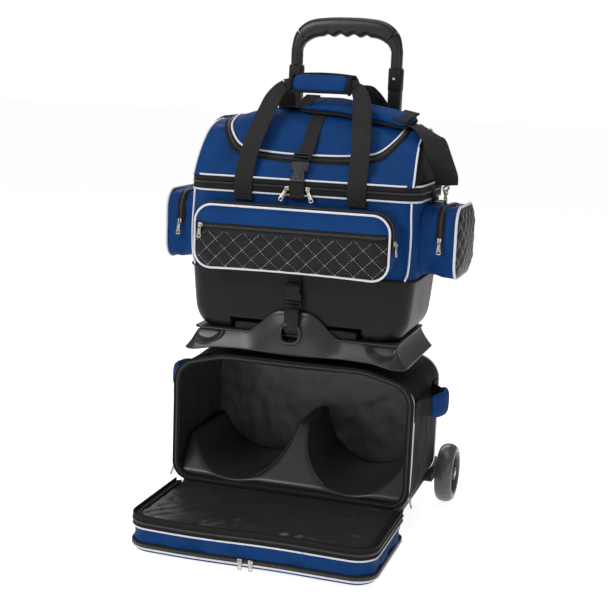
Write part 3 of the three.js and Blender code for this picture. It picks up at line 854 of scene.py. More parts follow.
def add_piping(name, path, body, closed=False, radius=PIPING_RADIUS, replaces=()):
    return make(name, tube(path, radius, closed), PIPING, body, replaces)


def webbing(path, wide, width, thickness=2.2, scales=None):
    """A woven strap with soft edges and cross ribs standing proud of it."""
    path = np.asarray(path, float)
    length = distances(path)
    rib = 1 + 0.1 * np.sin(2 * math.pi * length / 3.4)
    scales = np.ones((len(path), 2)) if scales is None else np.array(scales, float)
    scales[:, 1] *= rib
    return sweep(path, oval(width, thickness, 20, 5.5), wide, scales=scales)


def carried(rows, spacing=0.85):
    """A smooth strap route from rows of (x, y, z, wide x, wide y, wide z)."""
    smooth = spline(rows, spacing)
    return smooth[:, :3], smooth[:, 3:6]


def add_zip(name, path, face_out, width, body, closed=False, replaces=()):
    """A zip along a path: a tape lying square to face_out, and a coil with a seam each side on it."""
    path = np.asarray(path, float)
    along = tangents(path, closed)
    out = np.broadcast_to(np.asarray(face_out, float), path.shape)
    wide = unit(np.cross(along, out))
    tape = sweep(path, oval(width, 1.6, 16, 5), wide, closed)
    fold = oval(width * 0.2, 1.5, 12, 2.4)
    folds = [sweep(path + wide * side * width * 0.3 + out * 0.8, fold, wide, closed) for side in (-1, 1)]
    make(f"{name}_tape", joined(tape, *folds), ZIP_TAPE, body, replaces)
    coil = sweep(path + out * 1.2, oval(5.6, 2.8, 12, 3), wide, closed)
    make(f"{name}_coil", coil, ZIP_COIL, body)


def pull_tab(length=24, width=9.5):
    """A cast pull hanging down from its ring: waisted, with a hole at the foot and raised bars."""
    half = width / 2
    outline = rounded_loop(mirrored([(half * 0.62, 0, 1), (half * 0.7, -length * 0.35, 6),
                                     (half, -length + 3, 2.2), (half * 0.8, -length, 2)]), 0.9)
    foot = rectangle(-half * 0.5, -length + 2, half * 0.5, -length + 6.2, 1.4, 0.7)
    eye = rectangle(-1.3, -4.2, 1.3, -1.4, 1, 0.6)
    bars = [moved(plate(rectangle(-half * 0.46, -0.7, half * 0.46, 0.7, 0.6, 0.5), 0.9, 0.25),
                  Matrix.Translation((0, -length * place, 1.1))) for place in (0.36, 0.46, 0.56)]
    return joined(plate(outline, 2.2, 0.5, (foot, eye)), *bars)


def slider():
    """A zip slider lying in the XY plane, its nose towards +Y, with a bridge over the middle."""
    body = plate(rounded_loop([(-3.2, -5, 1.5), (3.2, -5, 1.5), (4.6, 3.4, 2.2), (2.2, 5, 1), (0, 3.8, 1),
                               (-2.2, 5, 1), (-4.6, 3.4, 2.2)], 0.8), 3.0, 0.7)
    bridge = tube(spline([(0, -3.2, 1.2), (0, -2.6, 3.0), (0, 0, 3.9), (0, 2.6, 3.0), (0, 3.2, 1.2)], 0.6),
                  0.95, sides=8)
    return joined(body, bridge)


def pull_ring():
    return tube(spline(on_plane(circle(2.6, 14), "z", 0), 0.8, True), 0.75, True, 8)


def zip_pull(place, face_out, along, hang, length=24):
    """A slider on a zip and the tab that hangs from it."""
    place, out = np.asarray(place, float), unit(face_out)
    nose = unit(along)
    on_zip = moved(slider(), basis(place + out * 2.2, np.cross(nose, out), nose))
    down = unit(hang)
    side = unit(np.cross(down, out))
    ring_centre = place + out * 5.2 + down * 2.0
    ring = moved(pull_ring(), basis(ring_centre, down, out))
    tab = moved(pull_tab(length), basis(ring_centre + down * 1.2, -side, -down))
    return joined(on_zip, ring, tab)


def add_pull(name, body, *where):
    """A zip's slider and its tab; where is what zip_pull() takes."""
    make(name, zip_pull(*where), NICKEL, body, creased_edges=True)


def side_release_buckle(width, length):
    """A closed buckle in the XY plane, its strap end at the top: waisted body, a raised crown and prongs."""
    half = width / 2
    waisted = mirrored([(half, 0, 3), (half, -length * 0.2, 3), (half * 0.62, -length * 0.52, 9),
                        (half * 0.9, -length, 4)])
    body = plate(rounded_loop(waisted, 1.2), 8.5, 2.2)
    raised = mirrored([(half * 0.5, -length * 0.16, 4), (half * 0.36, -length * 0.85, 4)])
    crown = moved(plate(rounded_loop(raised, 1.2), 3.0, 1.3), Matrix.Translation((0, 0, 4.3)))
    blade = rounded_loop([(-1.6, 4.5, 1.5), (1.8, 4.5, 1.5), (1.6, -4.5, 1.5), (-1.8, -4.5, 1.5)], 0.8)
    prongs = []
    for side in (-1, 1):
        place = basis((side * half * 0.86, -length * 0.33, 0), (side, 0.25, 0), (-0.25 * side, 1, 0))
        prongs.append(moved(plate(blade, 6, 1.2), place))
    return joined(body, crown, *prongs)


def ladder_lock(width, height):
    """The strap adjuster above a buckle: an open frame with a bar across its middle."""
    half = width / 2
    windows = [rectangle(-half + 3.4, low, half - 3.4, high, 1.2, 1)
               for low, high in ((3, height * 0.44), (height * 0.62, height - 3))]
    return plate(rectangle(-half, 0, half, height, 2.6, 1), 5, 1.1, windows)


def stitched(path, out, pitch=5.2, radius=0.48):
    """A run of sewn thread along a path: each stitch stands up along out and dives between stitches."""
    path = even(path, 0.9)
    if len(path) < 4:
        return None
    along = np.arange(len(path)) * 0.9
    lift = np.broadcast_to(np.asarray(out, float), path.shape)
    height = 0.15 + 0.75 * np.cos(2 * math.pi * along / pitch)
    return tube(path + unit(lift) * height[:, None], radius, sides=6)


def diamond_lines(low, high, keep):
    """Short straight runs of the quilting's diamond lines, inside keep(a, b), as 2-D point arrays."""
    corner = max(np.abs(low).max(), np.abs(high).max())
    reach = int(corner * (1 / DIAMOND_WIDTH + 1 / DIAMOND_HEIGHT)) + 1
    runs = []
    for sign in (-1, 1):
        for line in range(-reach, reach + 1):
            a = np.arange(low[0], high[0], 0.9)
            b = sign * (line - a / DIAMOND_WIDTH) * DIAMOND_HEIGHT
            inside = (b > low[1]) & (b < high[1])
            inside &= keep(a, b) > 0
            for run in np.split(np.arange(len(a)), np.flatnonzero(np.diff(inside.astype(int))) + 1):
                if len(run) > 8 and inside[run[0]]:
                    runs.append(np.column_stack([a[run], b[run]]))
    return runs


def add_stitching(name, runs, on_face, out):
    """Quilting thread along its diamond lines; on_face(a, b) gives a line's points on the face."""
    threads = [stitched(on_face(run[:, 0], run[:, 1]), out) for run in runs]
    make(name, joined(*[thread for thread in threads if thread]), THREAD, "tote")


# ---- Lower bag ----

def lower_outline(inset, spacing=4.0):
    """The lower bag's section: square-footed, with round shoulders and a crowned top."""
    side, low, top = LOWER_HALF_WIDTH - inset, LOWER_BOTTOM_Z + inset, LOWER_TOP_Z - inset
    return rounded_loop([
        (-side, low, 38 - inset), (side, low, 38 - inset), (side, LOWER_SHOULDER_Z - 8 - inset, 50 - inset),
        (150, top - 3, 120), (-150, top - 3, 120), (-side, LOWER_SHOULDER_Z - 8 - inset, 50 - inset),
    ], spacing)


def tunnel(outline, stations, push):
    """The outline carried back through stations; push(station) is how far it moves outwards."""
    centre = outline.mean(0)
    arms = unit(outline - centre)
    return np.stack([on_plane(outline + arms * push(y), "y", y) for y in stations])


def add_lower_fabric():
    stations = np.linspace(1, LOWER_BACK_Y + 3, 64)
    depth = LOWER_BACK_Y

    def sag(y):
        return 1.4 * math.sin(math.pi * y / depth) - 0.6

    outer = tunnel(lower_outline(0, 5), stations, sag)
    points, faces, uv = grid(outer, closed_v=True)
    hold = smooth_step(points[:, 1], 2, 26) * (1 - smooth_step(points[:, 1], 228, 250))
    skin = creased((points, faces, uv), 3.0, 95, 3, hold=hold)
    make("lower_bag_fabric", skin, BLACK, "lower_bag", ("lower_shell",))
    inner = tunnel(lower_outline(6, 5), np.linspace(1, 247, 50), lambda y: -1.2)
    points, faces, uv = grid(inner, closed_v=True)
    hold = smooth_step(points[:, 1], 3, 30)
    lining = creased((points, faces, uv), -3.4, 70, 8, hold=hold)
    make("lower_bag_lining", lining, LINING, "lower_bag")
    back = creased(disc(lower_outline(7, 6), 7, "y", 246), 2.2, 80, 5)
    make("lower_bag_back_lining", back, LINING, "lower_bag")


def add_lower_back():
    rings = filled(lower_outline(0.5, 5), 6)
    levels = np.linspace(0, 1, len(rings))
    plane = np.stack([on_plane(ring, "y", 252 + 4.5 * math.sin(math.pi / 2 * min(1, level * 2.4)))
                      for ring, level in zip(rings, levels)])
    points, faces, uv = grid(plane, closed_v=True)
    hold = smooth_step(250 - np.abs(points[:, 0]), 4, 40)
    make("lower_bag_back", creased((points, faces, uv), 1.6, 90, 14, hold=hold), BLACK, "lower_bag",
         ("lower_back_panel",))
    add_piping("lower_back_piping", on_plane(lower_outline(0.5), "y", 251), "lower_bag", True, 2.3)


LOWER_CORNER = [(214, 64), (236, 72), (248, 96), (250.5, 140), (250.8, 200), (250.5, 262), (245, 290),
                (231, 305)]


def add_lower_opening():
    """The front opening's zip, sewn between the outer cloth and a bound lip."""
    lip = lower_outline(2.4)
    ring = on_plane(lip, "y", 0.6)
    centre = lip.mean(0)
    arms = on_plane(unit(lip - centre), "y", 0)
    tape = sweep(ring - arms * 3.2, oval(11, 2.6, 16, 4), arms, True)
    binding = tube(ring + arms * 1.2, 2.5, True)
    hem = tube(ring - arms * 9.2 + (0, 1.2, 0), 1.9, True)
    make("lower_zip_tape", joined(tape, binding, hem), ZIP_TAPE, "lower_bag", ("lower_front_frame",))
    coil = sweep(ring - arms * 4.2 - (0, 1.4, 0), oval(4.6, 2.6, 12, 3), arms, True)
    make("lower_zip_coil", coil, ZIP_COIL, "lower_bag")
    for name, side in SIDES:
        corner = spline([(side * x, 5, z) for x, z in LOWER_CORNER], 4)
        add_piping(f"lower_front_piping_{name}", corner, "lower_bag", radius=2.2)
        shoulder = [(side * 231, y, 305.5 + 1.2 * math.sin(math.pi * y / 250)) for y in np.arange(5, 251, 5)]
        add_piping(f"lower_shoulder_piping_{name}", shoulder, "lower_bag", radius=2.2)
        add_pull(f"lower_zip_slider_{name}", "lower_bag", (side * 246, 5, 84), (side, 0, 0), UP,
                 (side * 0.3, 0, -0.95), 15)


def tray_height(x, y):
    """The tray's top: a slope up from the front lip, with a round trough for each ball."""
    across = np.abs(np.abs(x) - SEAT_X)
    trough = SEAT_Z - np.sqrt(np.maximum(SEAT_RADIUS ** 2 - across ** 2, 0))
    trough = np.where(np.abs(x) > SEAT_X, np.minimum(trough, TRAY_SIDE_Z), trough)
    slope = np.minimum(TRAY_LIP_Z + (y - 12) * TRAY_SLOPE, SEAT_Z)
    return (trough + slope - np.sqrt((trough - slope) ** 2 + 12)) / 2


def add_cradle():
    """The moulded tray both balls sit in; its divider is a saddle that flares out towards the front."""
    angles = np.radians(np.linspace(-20, -180, 36))
    half = np.concatenate([[238, 232], SEAT_X + SEAT_RADIUS * np.cos(angles), [8, 4]])
    x = np.concatenate([half, [0], -half[::-1]])

    def row(y, z):
        return np.column_stack([x, np.full(len(x), float(y)), z])

    rows = np.array([row(y, tray_height(x, y)) for y in np.linspace(12, 236, 70)])
    lip = rows[:1] + (0, -1.6, -6)
    front_floor, back_floor = (row(y, np.full(len(x), 69.0))[None] for y in (14, 236))
    tray = grid(np.concatenate([back_floor, front_floor, lip, rows]))
    thicken(make("ball_tray", tray, PLATFORM, "lower_bag", ("ball_cradle",)), 2.5)
    for name, side in SIDES:
        z = np.linspace(TRAY_LIP_Z + 6, SEAT_Z - 6, 30)
        edge = SEAT_X - np.sqrt(SEAT_RADIUS ** 2 - (SEAT_Z - z) ** 2)
        rim = np.column_stack([side * edge, 12 + (z - TRAY_LIP_Z) / TRAY_SLOPE - 1, z])
        make(f"tray_rim_{name}", tube(spline(rim, 3), 1.5), PLATFORM, "lower_bag")


def add_side_grips():
    bow = [(252, 12), (252.6, 42), (259, 55), (272, 70), (284, 88), (290, 112),
           (287, 138), (276, 160), (262, 178), (253, 192), (252, 218)]
    for name, side in SIDES:
        route = spline([(side * x, y, 259) for x, y in bow], 0.85)
        make(f"side_grip_webbing_{name}", webbing(route, UP, 36, 2.6), WEBBING, "lower_bag",
             (f"side_grip_strap_{name}",))
        middle = spline([(side * x, y, 259) for x, y in bow[3:8]], 1.5)
        along = np.linspace(0, 1, len(middle))
        swell = 1 - 0.24 * np.abs(2 * along - 1) ** 8
        ribs = 1 + 0.10 * np.cos(2 * math.pi * along * 13)
        sleeve = sweep(middle, oval(48, 13, 28, 2.8), UP, scales=np.column_stack([swell, swell * ribs]))
        make(f"side_grip_sleeve_{name}_cover", sleeve, BLUE, "lower_bag", (f"side_grip_sleeve_{name}",))
        for end, y in (("front", 27), ("back", 205)):
            patch = plate(rectangle(-24, -22, 24, 22, 5, 2), 1.8, 0.6)
            place = basis((side * 252.2, y, 259), (0, side, 0), UP)
            square = rectangle(-16, -15, 16, 15, 2, 2)
            box_stitch = tube(np.column_stack([square, np.full(len(square), 1.2)]), 0.6, True, 6)
            make(f"side_grip_patch_{end}_{name}", moved(patch, place), BLACK, "lower_bag")
            make(f"side_grip_stitch_{end}_{name}", moved(box_stitch, place), WEBBING, "lower_bag")


# ---- Front flap ----

def flap_outline(inset, spacing=4.0):
    side, front = FLAP_HALF_WIDTH - inset, FLAP_FRONT_Y + inset
    return rounded_loop([(-side, front, 44 - inset), (side, front, 44 - inset),
                         (side, -3 - inset, 6), (-side, -3 - inset, 6)], spacing)


def flap_front(inset, spacing=4.0):
    """The flap's edge from its left hinge corner round the front to its right one."""
    side, front = FLAP_HALF_WIDTH - inset, FLAP_FRONT_Y + inset
    corners = [(-side, -3, 0), (-side, front, 44 - inset), (side, front, 44 - inset), (side, -3, 0)]
    return rounded_loop(corners, spacing, closed=False)


def flap_wave(points, amount):
    """Lets a sewn edge wander a little up and down, most along the front."""
    points = np.array(points, float)
    front = smooth_step(-points[:, 1], 60, 230)
    wave = np.sin(points[:, 0] / 47 + 0.6) * 0.6 + np.sin(points[:, 0] / 103) * 0.8
    points[:, 2] += amount * front * wave
    return points


def ring_of(z, inset, count):
    """A wavy ring of the flap's edge at a height."""
    return flap_wave(on_plane(resampled(flap_outline(inset, 1.0), count), "z", z), 1.2)


def add_flap_edge():
    count = 330
    band = spline([(43, 3.5), (38, 4), (28, 6.2), (18, 4.4), (14, 3)], 2.4)
    points, faces, uv = grid(np.stack([ring_of(z, inset, count) for z, inset in band]), closed_v=True)
    make("flap_side_cloth", creased((points, faces, uv), 4.4, 46, 21, (1, 1, 1.4)), BLUE, "flap",
         ("flap_pocket_gusset",))
    under = spline([(3, 1.5), (-1.5, 2.2), (-5.5, 6.5), (-7.8, 16), (-8.4, 34)], 3)
    lip = grid(np.stack([ring_of(z, inset, count) for z, inset in under]), closed_v=True)
    panel = disc(flap_outline(33, 4), 6, "z", -8.4)
    points, faces, uv = joined(lip, panel)
    points[:, 2] = np.maximum(points[:, 2], -8.6)
    make("flap_bottom_cloth", (points, faces, uv), BLUE, "flap", ("flap_pocket_panel",))
    loop = flap_outline(1.4)
    outward = on_plane(to_the_right(loop, True), "z", 0)
    add_zip("flap_pocket_zip", flap_wave(on_plane(loop, "z", 8.6), 1.2), outward, 11, "flap", True)
    add_piping("flap_lower_piping", flap_wave(on_plane(flap_outline(0.4), "z", 2.4), 1.2), "flap", True)
    add_piping("flap_upper_piping", flap_wave(on_plane(flap_front(1.2), "z", 41.5), 1.6), "flap")


def add_flap_rim():
    """The two-part zip tape that stands up round the lining, with a bound hem along its top."""
    loop = flap_front(2.6, 4)
    outward = on_plane(to_the_right(loop), "z", 0)

    def at(z, out):
        return flap_wave(on_plane(loop, "z", z) + outward * out, 1.8)

    tape = sweep(at(53, 0.2), oval(24, 2.4, 20, 5), UP)
    hem = sweep(at(62.6, 0.4), oval(5.4, 4.4, 14, 2.2), UP)
    foot = sweep(at(43.6, 0.6), oval(4.6, 3.6, 14, 2.2), UP)
    ledge = sweep(at(59.5, -7), oval(15, 2, 16, 5), -outward + (0, 0, 0.25))
    make("flap_zip_tape", joined(tape, hem, foot, ledge), ZIP_TAPE, "flap", ("flap_rim",))
    make("flap_zip_coil", sweep(at(52.6, 2.0), oval(5, 2.8, 12, 3), UP), ZIP_COIL, "flap")


def add_flap_lining():
    """The satin lining, slack in its frame and gathered into pleats along the front."""
    rows = []
    for y in np.linspace(-231, -5, 66):
        corner = 35 - math.sqrt(35 ** 2 - max(0.0, -196 - y) ** 2)
        rows.append([(x * (234 - corner), y, 58.4) for x in np.linspace(-1, 1, 134)])
    points, faces, uv = grid(np.array(rows))
    edge = inside_rounded(points[:, 0], points[:, 1], -234, -231, 234, -3, 30)
    free = smooth_step(edge, 0, 34)
    points[:, 2] += -2.6 * free
    near_front = np.exp(-(points[:, 1] + 232) / 60) * smooth_step(edge, 1, 14)
    pleats = np.zeros(len(points))
    for i, (x, y, _) in enumerate(points):
        lean = x - 0.75 * (y + 232)
        gather = max(0, noise.noise(Vector((lean / 70, 3.1, 0))) + 0.35)
        pleats[i] = math.sin(lean / 4.6 + 2.2 * noise.noise(Vector((lean / 45, y / 80, 1.7)))) * gather
    points[:, 2] += 6 * near_front * pleats
    slack = creases(points, 78, 6, (0.8, 1.3, 1)) * free
    points[:, 2] += 5 * slack
    lining = make("flap_lining_cloth", (points, faces, uv), LINING, "flap", ("flap_lining",))
    thicken(lining, 2.5)


def add_flap_pulls():
    for name, x, nose in (("left", -9, 1), ("right", 12, -1)):
        on_zip = moved(slider(), basis((x, FLAP_FRONT_Y - 2.2, 10), (0, 0, -1), (nose, 0, 0)))
        make(f"flap_slider_{name}", on_zip, NICKEL, "flap", creased_edges=True)
        ring = moved(pull_ring(), basis((x, FLAP_FRONT_Y - 3.2, 12.4), UP, (0, 1, 0)))
        tab = moved(pull_tab(20, 9), basis((x, FLAP_FRONT_Y - 2, 11.6), (1, 0, 0), UP))
        make(f"flap_pull_tab_{name}", joined(ring, tab), NICKEL, f"flap_pull_{name}",
             (f"flap_pull_{name}",), creased_edges=True)


def add_flap_hinge():
    """The cloth that joins the flap to the lower bag, bending between them."""
    rows = np.array([(-8, 57.5), (-3, 58.6), (1, 60), (4, 64), (7, 68.4)])
    path = spline(rows, 1.6)
    xs = np.linspace(-226, 226, 80)
    points = np.stack([[(x, y, z + 0.7 * math.sin(x / 23)) for x in xs] for y, z in path])
    strip = make("flap_hinge_cloth", grid(points), LINING, None)
    thicken(strip, 1.6)
    apply_modifiers(strip)
    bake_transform(strip)


# ---- Platform, docking strap, trolley and wheels ----

GROMMET = (-23, 375, 17, 413, 15)


def platform_top(x):
    """The skirt's top edge: level shelves either side of a hump."""
    return 380 + 6 * smooth_step(224 - abs(x), 0, 30) + 49 * (1 - smooth_step(abs(x + 1), 26, 104))


def platform_bottom(x):
    """The skirt's lower edge: gently waved in the middle and dropped at the corners."""
    wave = 2.5 * math.cos(x / 46) * (1 - smooth_step(abs(x), 90, 160))
    return 353 - 9.5 * smooth_step(abs(x), 150, 223) - wave


def add_platform_skirt():
    plan = rounded_loop([(-221, 250, 0), (-221, -5, 20), (221, -5, 20), (221, 250, 0)], 3.2, closed=False)
    outward = to_the_right(plan)
    sections = np.linspace(0, 1, 18)
    rows = []
    for (x, y), (ox, oy) in zip(plan, outward):
        low, high = platform_bottom(x), platform_top(x)
        facing = max(0.0, -oy)
        hump = math.exp(-((x + 1) / 62) ** 2)
        row = []
        for v in sections:
            flare = (1 - v) ** 1.8 * (6 + 5 * smooth_step(abs(x), 150, 220)) - 9 * v
            from_scoop = math.hypot((abs(x) - 186) / 40, (low + (high - low) * v - 392) / 37)
            scoop = facing * smooth_step(1 - from_scoop, 0, 0.3)
            push = flare + facing * hump * 7 * math.sin(math.pi * min(1, v * 1.05)) - 9 * scoop
            push -= (1 - facing) * 6 * v
            row.append((x + ox * push, y + oy * push, low + (high - low) * v))
        x1, y1, z1 = row[-1]
        row.append((x1 - ox * 2.2, y1 - oy * 2.2, z1 + 1.6))
        row.append((x1 - ox * 5.5, y1 - oy * 5.5, z1 + 1.4))
        row.append((x1 - ox * 9, y1 - oy * 9, z1 - 1.5))
        rows.append(row)
    points, faces, uv = grid(np.array(rows))
    a0, b0, a1, b1, radius = GROMMET
    centres = points[np.array(faces)].mean(1)
    hole = (inside_rounded(centres[:, 0], centres[:, 2], a0, b0, a1, b1, radius) > 0) & (centres[:, 1] < 30)
    faces = [face for face, cut in zip(faces, hole) if not cut]
    skirt = make("platform_skirt", (points, faces, uv), PLATFORM, "lower_bag", ("stacking_platform",))
    thicken(skirt, 3.2)
    rim = rectangle(a0, b0, a1, b1, radius, 2)
    front = -6 - 7 * np.exp(-((rim[:, 0] + 1) / 62) ** 2) + 0.12 * (rim[:, 1] - 380)
    ring = on_plane(rim, "y", front)
    bore = np.stack([on_plane(rim, "y", front + back) for back in (0, 3, 10, 22)])
    grommet = joined(tube(ring, 3.6, True, 12), grid(bore, closed_v=True))
    make("platform_grommet", grommet, PLATFORM, "lower_bag")
    for name, side in SIDES:
        bead = []
        for angle in np.linspace(math.radians(176), math.radians(290), 26):
            bx, bz = 186 + 40 * math.cos(angle), 392 + 36 * math.sin(angle)
            if bz < platform_top(bx) + 1:
                bead.append((side * bx, -0.5 - 6 * (1 - (bz - 345) / 42), bz))
        make(f"platform_bead_{name}", tube(spline(bead, 2.4), 2.6), PLATFORM, "lower_bag")


def add_platform_deck():
    points, faces, uv = disc(rectangle(-212, 2, 212, 248, 16, 6), 7, "z", 386.5)
    ribs = np.clip(np.cos(points[:, 0] / 7.2) * 3, -1, 1)
    field = smooth_step(inside_rounded(points[:, 0], points[:, 1], -180, 44, 180, 230, 20), 0, 6)
    points[:, 2] += field * (0.7 * ribs - 1.2) + 2.4
    deck = make("platform_deck", (points, faces, uv), PLATFORM, "lower_bag")
    thicken(deck, 3)
    lugs = []
    for side in (-1, 1):
        block = plate(rectangle(side * 95 - 32, 11.5, side * 95 + 32, 36, 5, 2), 17, 1.6)
        lugs.append(moved(block, Matrix.Translation((0, 0, 395.4))))
        pad = plate(rectangle(side * 95 - 24, 15, side * 95 + 24, 32, 4, 2), 2, 0.7)
        lugs.append(moved(pad, Matrix.Translation((0, 0, 403.6))))
    make("platform_lugs", joined(*lugs), MOULDED, "lower_bag", creased_edges=True)
    outline = rectangle(-140, 251, 140, 322, 12, 3)
    holes = [rectangle(side * TUBE_X - 16.4, TUBE_Y - 12.4, side * TUBE_X + 16.4, TUBE_Y + 12.4, 2.5, 2)
             for side in (-1, 1)]
    collar = moved(plate(outline, 86, 2.4, holes), Matrix.Translation((0, 0, 343)))
    make("platform_collar", collar, PLATFORM, "lower_bag", creased_edges=True)


def add_docking():
    drop = [(0.5, 444), (-5, 442), (-10.6, 438), (-11.4, 425), (-11.2, 410), (-9, 400), (3, 390), (18, 380),
            (30, 366), (36, 352), (37, 341)]
    rows = [(-3 + 2.2 * math.sin(i / 3), y, z, 1, 0.06 * math.sin(i), 0) for i, (y, z) in enumerate(drop)]
    path, wide = carried(rows)
    make("docking_strap_webbing", webbing(path, wide, 29, 2.3), WEBBING, "lower_bag", ("docking_strap",))
    loops = []
    for z in (448, 456):
        loops.append(tube(spline([(-20, -1, z), (-3, -3.4, z + 0.4), (14, -1, z)], 2), 2.3))
    sides = [tube(spline([(x, -1, 446.6), (x, -2.2, 452), (x, -1, 457)], 1.6), 2.4) for x in (-20, 14)]
    tongue = moved(plate(rectangle(-12.6, 457, 6.6, 478, 2, 1.5), 4.6, 1), basis((0, 2, 0), (1, 0, 0), UP))
    latch = joined(*loops, *sides, tongue)
    make("docking_buckle_latch", latch, MOULDED, "lower_bag", ("docking_buckle_male",))
    waisted = mirrored([(15.5, 459, 4), (15.5, 470, 4), (11.5, 478, 6), (14, 490, 5)], -3)
    shell = moved(plate(rounded_loop(waisted, 1.5), 11, 2.6), basis((0, 2, 0), (1, 0, 0), UP))
    bar = tube(spline([(-18, -3.2, 491), (-3, -4, 492), (12, -3.2, 491)], 2), 2)
    path, wide = carried([(-3, 5.5, 484, 1, 0, 0), (-3, 6.6, 496, 1, 0, 0), (-3, 8.6, 508, 1, 0, 0),
                          (-3, 9.6, 517, 1, 0, 0)])
    make("docking_buckle_shell", joined(shell, bar), MOULDED, "tote", ("docking_buckle_female",))
    make("docking_buckle_tab", webbing(path, wide, 28, 2.3), WEBBING, "tote")


def add_trolley():
    line = spline([(-110, 918), (-110, 934), (-109, 955), (-99, 978), (-76, 994), (-40, 999.5), (0, 1000.5),
                   (40, 999.5), (76, 994), (99, 978), (109, 955), (110, 934), (110, 918)], 2.2)
    path = on_plane(line, "y", TUBE_Y)
    top = smooth_step(line[:, 1], 950, 998)
    sizes = np.column_stack([24 + 15 * top, 27 - 1.5 * top])
    none = np.zeros(len(path))
    wide = np.column_stack([np.sign(-line[:, 0]) * (1 - top) * 3, none, none + 1])
    points, faces, uv = sweep(path, oval(1, 1, 30, 2.7), wide, scales=sizes)
    under = smooth_step(1000 - points[:, 2], 4, 14) * (1 - smooth_step(np.abs(points[:, 0]), 44, 58))
    teeth = 0.5 + 0.5 * np.cos(2 * math.pi * points[:, 0] / 29)
    points[:, 2] -= 5.6 * under * teeth - 3.2 * under
    make("trolley_handle", (points, faces, uv), GRIP, "trolley", ("trolley_grip",))
    for name, side in SIDES:
        x = side * TUBE_X
        ferrule = moved(plate(rectangle(x - 15, TUBE_Y - 11, x + 15, TUBE_Y + 11, 4, 1.4), 44, 1.6),
                        Matrix.Translation((0, 0, 893)))
        make(f"tube_ferrule_{name}", ferrule, MOULDED, "trolley", creased_edges=True)
        rivet = lathe([(0.1, -1.4), (3.6, -1.4), (3.4, -0.2), (2.4, 0.8), (0.1, 1.2)], 0, 0, 0, 20)
        rivet = moved(rivet, basis((x - 2, TUBE_Y - 11.2, 895), (0, -1, 0), UP))
        make(f"tube_rivet_{name}", rivet, NICKEL, "trolley")
        sleeve = moved(plate(rectangle(x - 18.5, TUBE_Y - 14.5, x + 18.5, TUBE_Y + 14.5, 5, 1.4), 22, 1.8,
                             [rectangle(x - 14.6, TUBE_Y - 10.6, x + 14.6, TUBE_Y + 10.6, 2, 1.4)]),
                       Matrix.Translation((0, 0, 512)))
        make(f"tube_lock_{name}", sleeve, MOULDED, "lower_bag", creased_edges=True)


# Wheel sections, as (radius, place along the axle)
TREAD_PROFILE = [(44.5, -15), (47, -17.5), (51, -18.8), (56, -17), (60, -13), (62.6, -7), (63.5, 0),
                 (62.6, 7), (60, 13), (56, 17), (51, 18.8), (47, 17.5), (44.5, 15), (44.5, 0)]
RIM_PROFILE = [(44.6, -15.5), (42, -16.4), (39.5, -13), (38.6, 0), (39.5, 13), (42, 16.4), (44.6, 15.5)]
BOSS_PROFILE = [(9.6, -17.4), (13.4, -17.4), (15, -15.4), (15.6, 0), (15, 15.4), (13.4, 17.4), (9.6, 17.4)]


def add_wheels():
    tread = spline(TREAD_PROFILE, 1.6, closed=True)
    for name, side in SIDES:
        x = side * WHEEL_X
        body = f"wheel_{name}"
        make(f"tyre_{name}", lathe(tread, x, AXLE_Y, AXLE_Z, 96), URETHANE, body, (f"wheel_tyre_{name}",))
        windows = []
        for spoke in range(5):
            middle = spoke * 2 * math.pi / 5 + 0.3
            kidney = [(34.5, -0.34), (36, 0), (34.5, 0.34), (22, 0.30), (19.5, 0), (22, -0.30)]
            loop = [(r * math.cos(middle + a), r * math.sin(middle + a)) for r, a in kidney]
            windows.append(spline(loop, 1.6, closed=True))
        face = basis((x, AXLE_Y, AXLE_Z), (0, 1, 0), UP)
        web = moved(plate(circle(42, 72), 13, 1.4, windows), face)
        rim = lathe(spline(RIM_PROFILE, 1.5, closed=True), x, AXLE_Y, AXLE_Z, 72)
        boss = lathe(BOSS_PROFILE, x, AXLE_Y, AXLE_Z, 48)
        make(f"hub_{name}", joined(web, rim, boss), HUB, body, (f"wheel_hub_{name}",), creased_edges=True)
        bearing = lathe([(6.2, -16.4), (9.4, -16.4), (9.4, 16.4), (6.2, 16.4)], x, AXLE_Y, AXLE_Z, 40)
        make(f"bearing_{name}", bearing, NICKEL, body, creased_edges=True)
        cap = lathe([(0.1, 17.6), (5.8, 17.6), (7.4, 16.6), (7.4, 13), (0.1, 13)], 0, 0, 0, 32)
        cap = moved(cap, Matrix.Translation((x, AXLE_Y, AXLE_Z)) @ Matrix.Scale(side, 4, (1, 0, 0)))
        make(f"axle_cap_{name}", cap, NICKEL, body)


def finish_cad_nodes():
    """Finishes for the CAD nodes that keep their shape."""
    kept = {"axle_rod": NICKEL, "tote_foam": FOAM, "shoe_floor": LINING}
    for name in ("base_plate", "front_foot_left", "front_foot_right", "axle_beam", "trolley_socket"):
        kept[name] = MOULDED
    for name in ("outer_tube_left", "outer_tube_right", "inner_tube_left", "inner_tube_right"):
        kept[name] = ANODISED
    for name, material in kept.items():
        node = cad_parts[name]
        node.data.materials.clear()
        node.data.materials.append(material)
        if name not in ("tote_foam", "axle_rod"):
            edge = node.modifiers.new("soft_edges", "BEVEL")
            edge.width = 0.0012
            edge.segments = 2
            edge.limit_method = "ANGLE"
            edge.angle_limit = math.radians(40)


# ---- Tote: moulded tub, body and shoe compartment ----

def tub_loop(z, half, front, back, radius, count=300):
    loop = rectangle(-half, front, half, back, radius, 1.0)
    return on_plane(resampled(loop, count), "z", z)


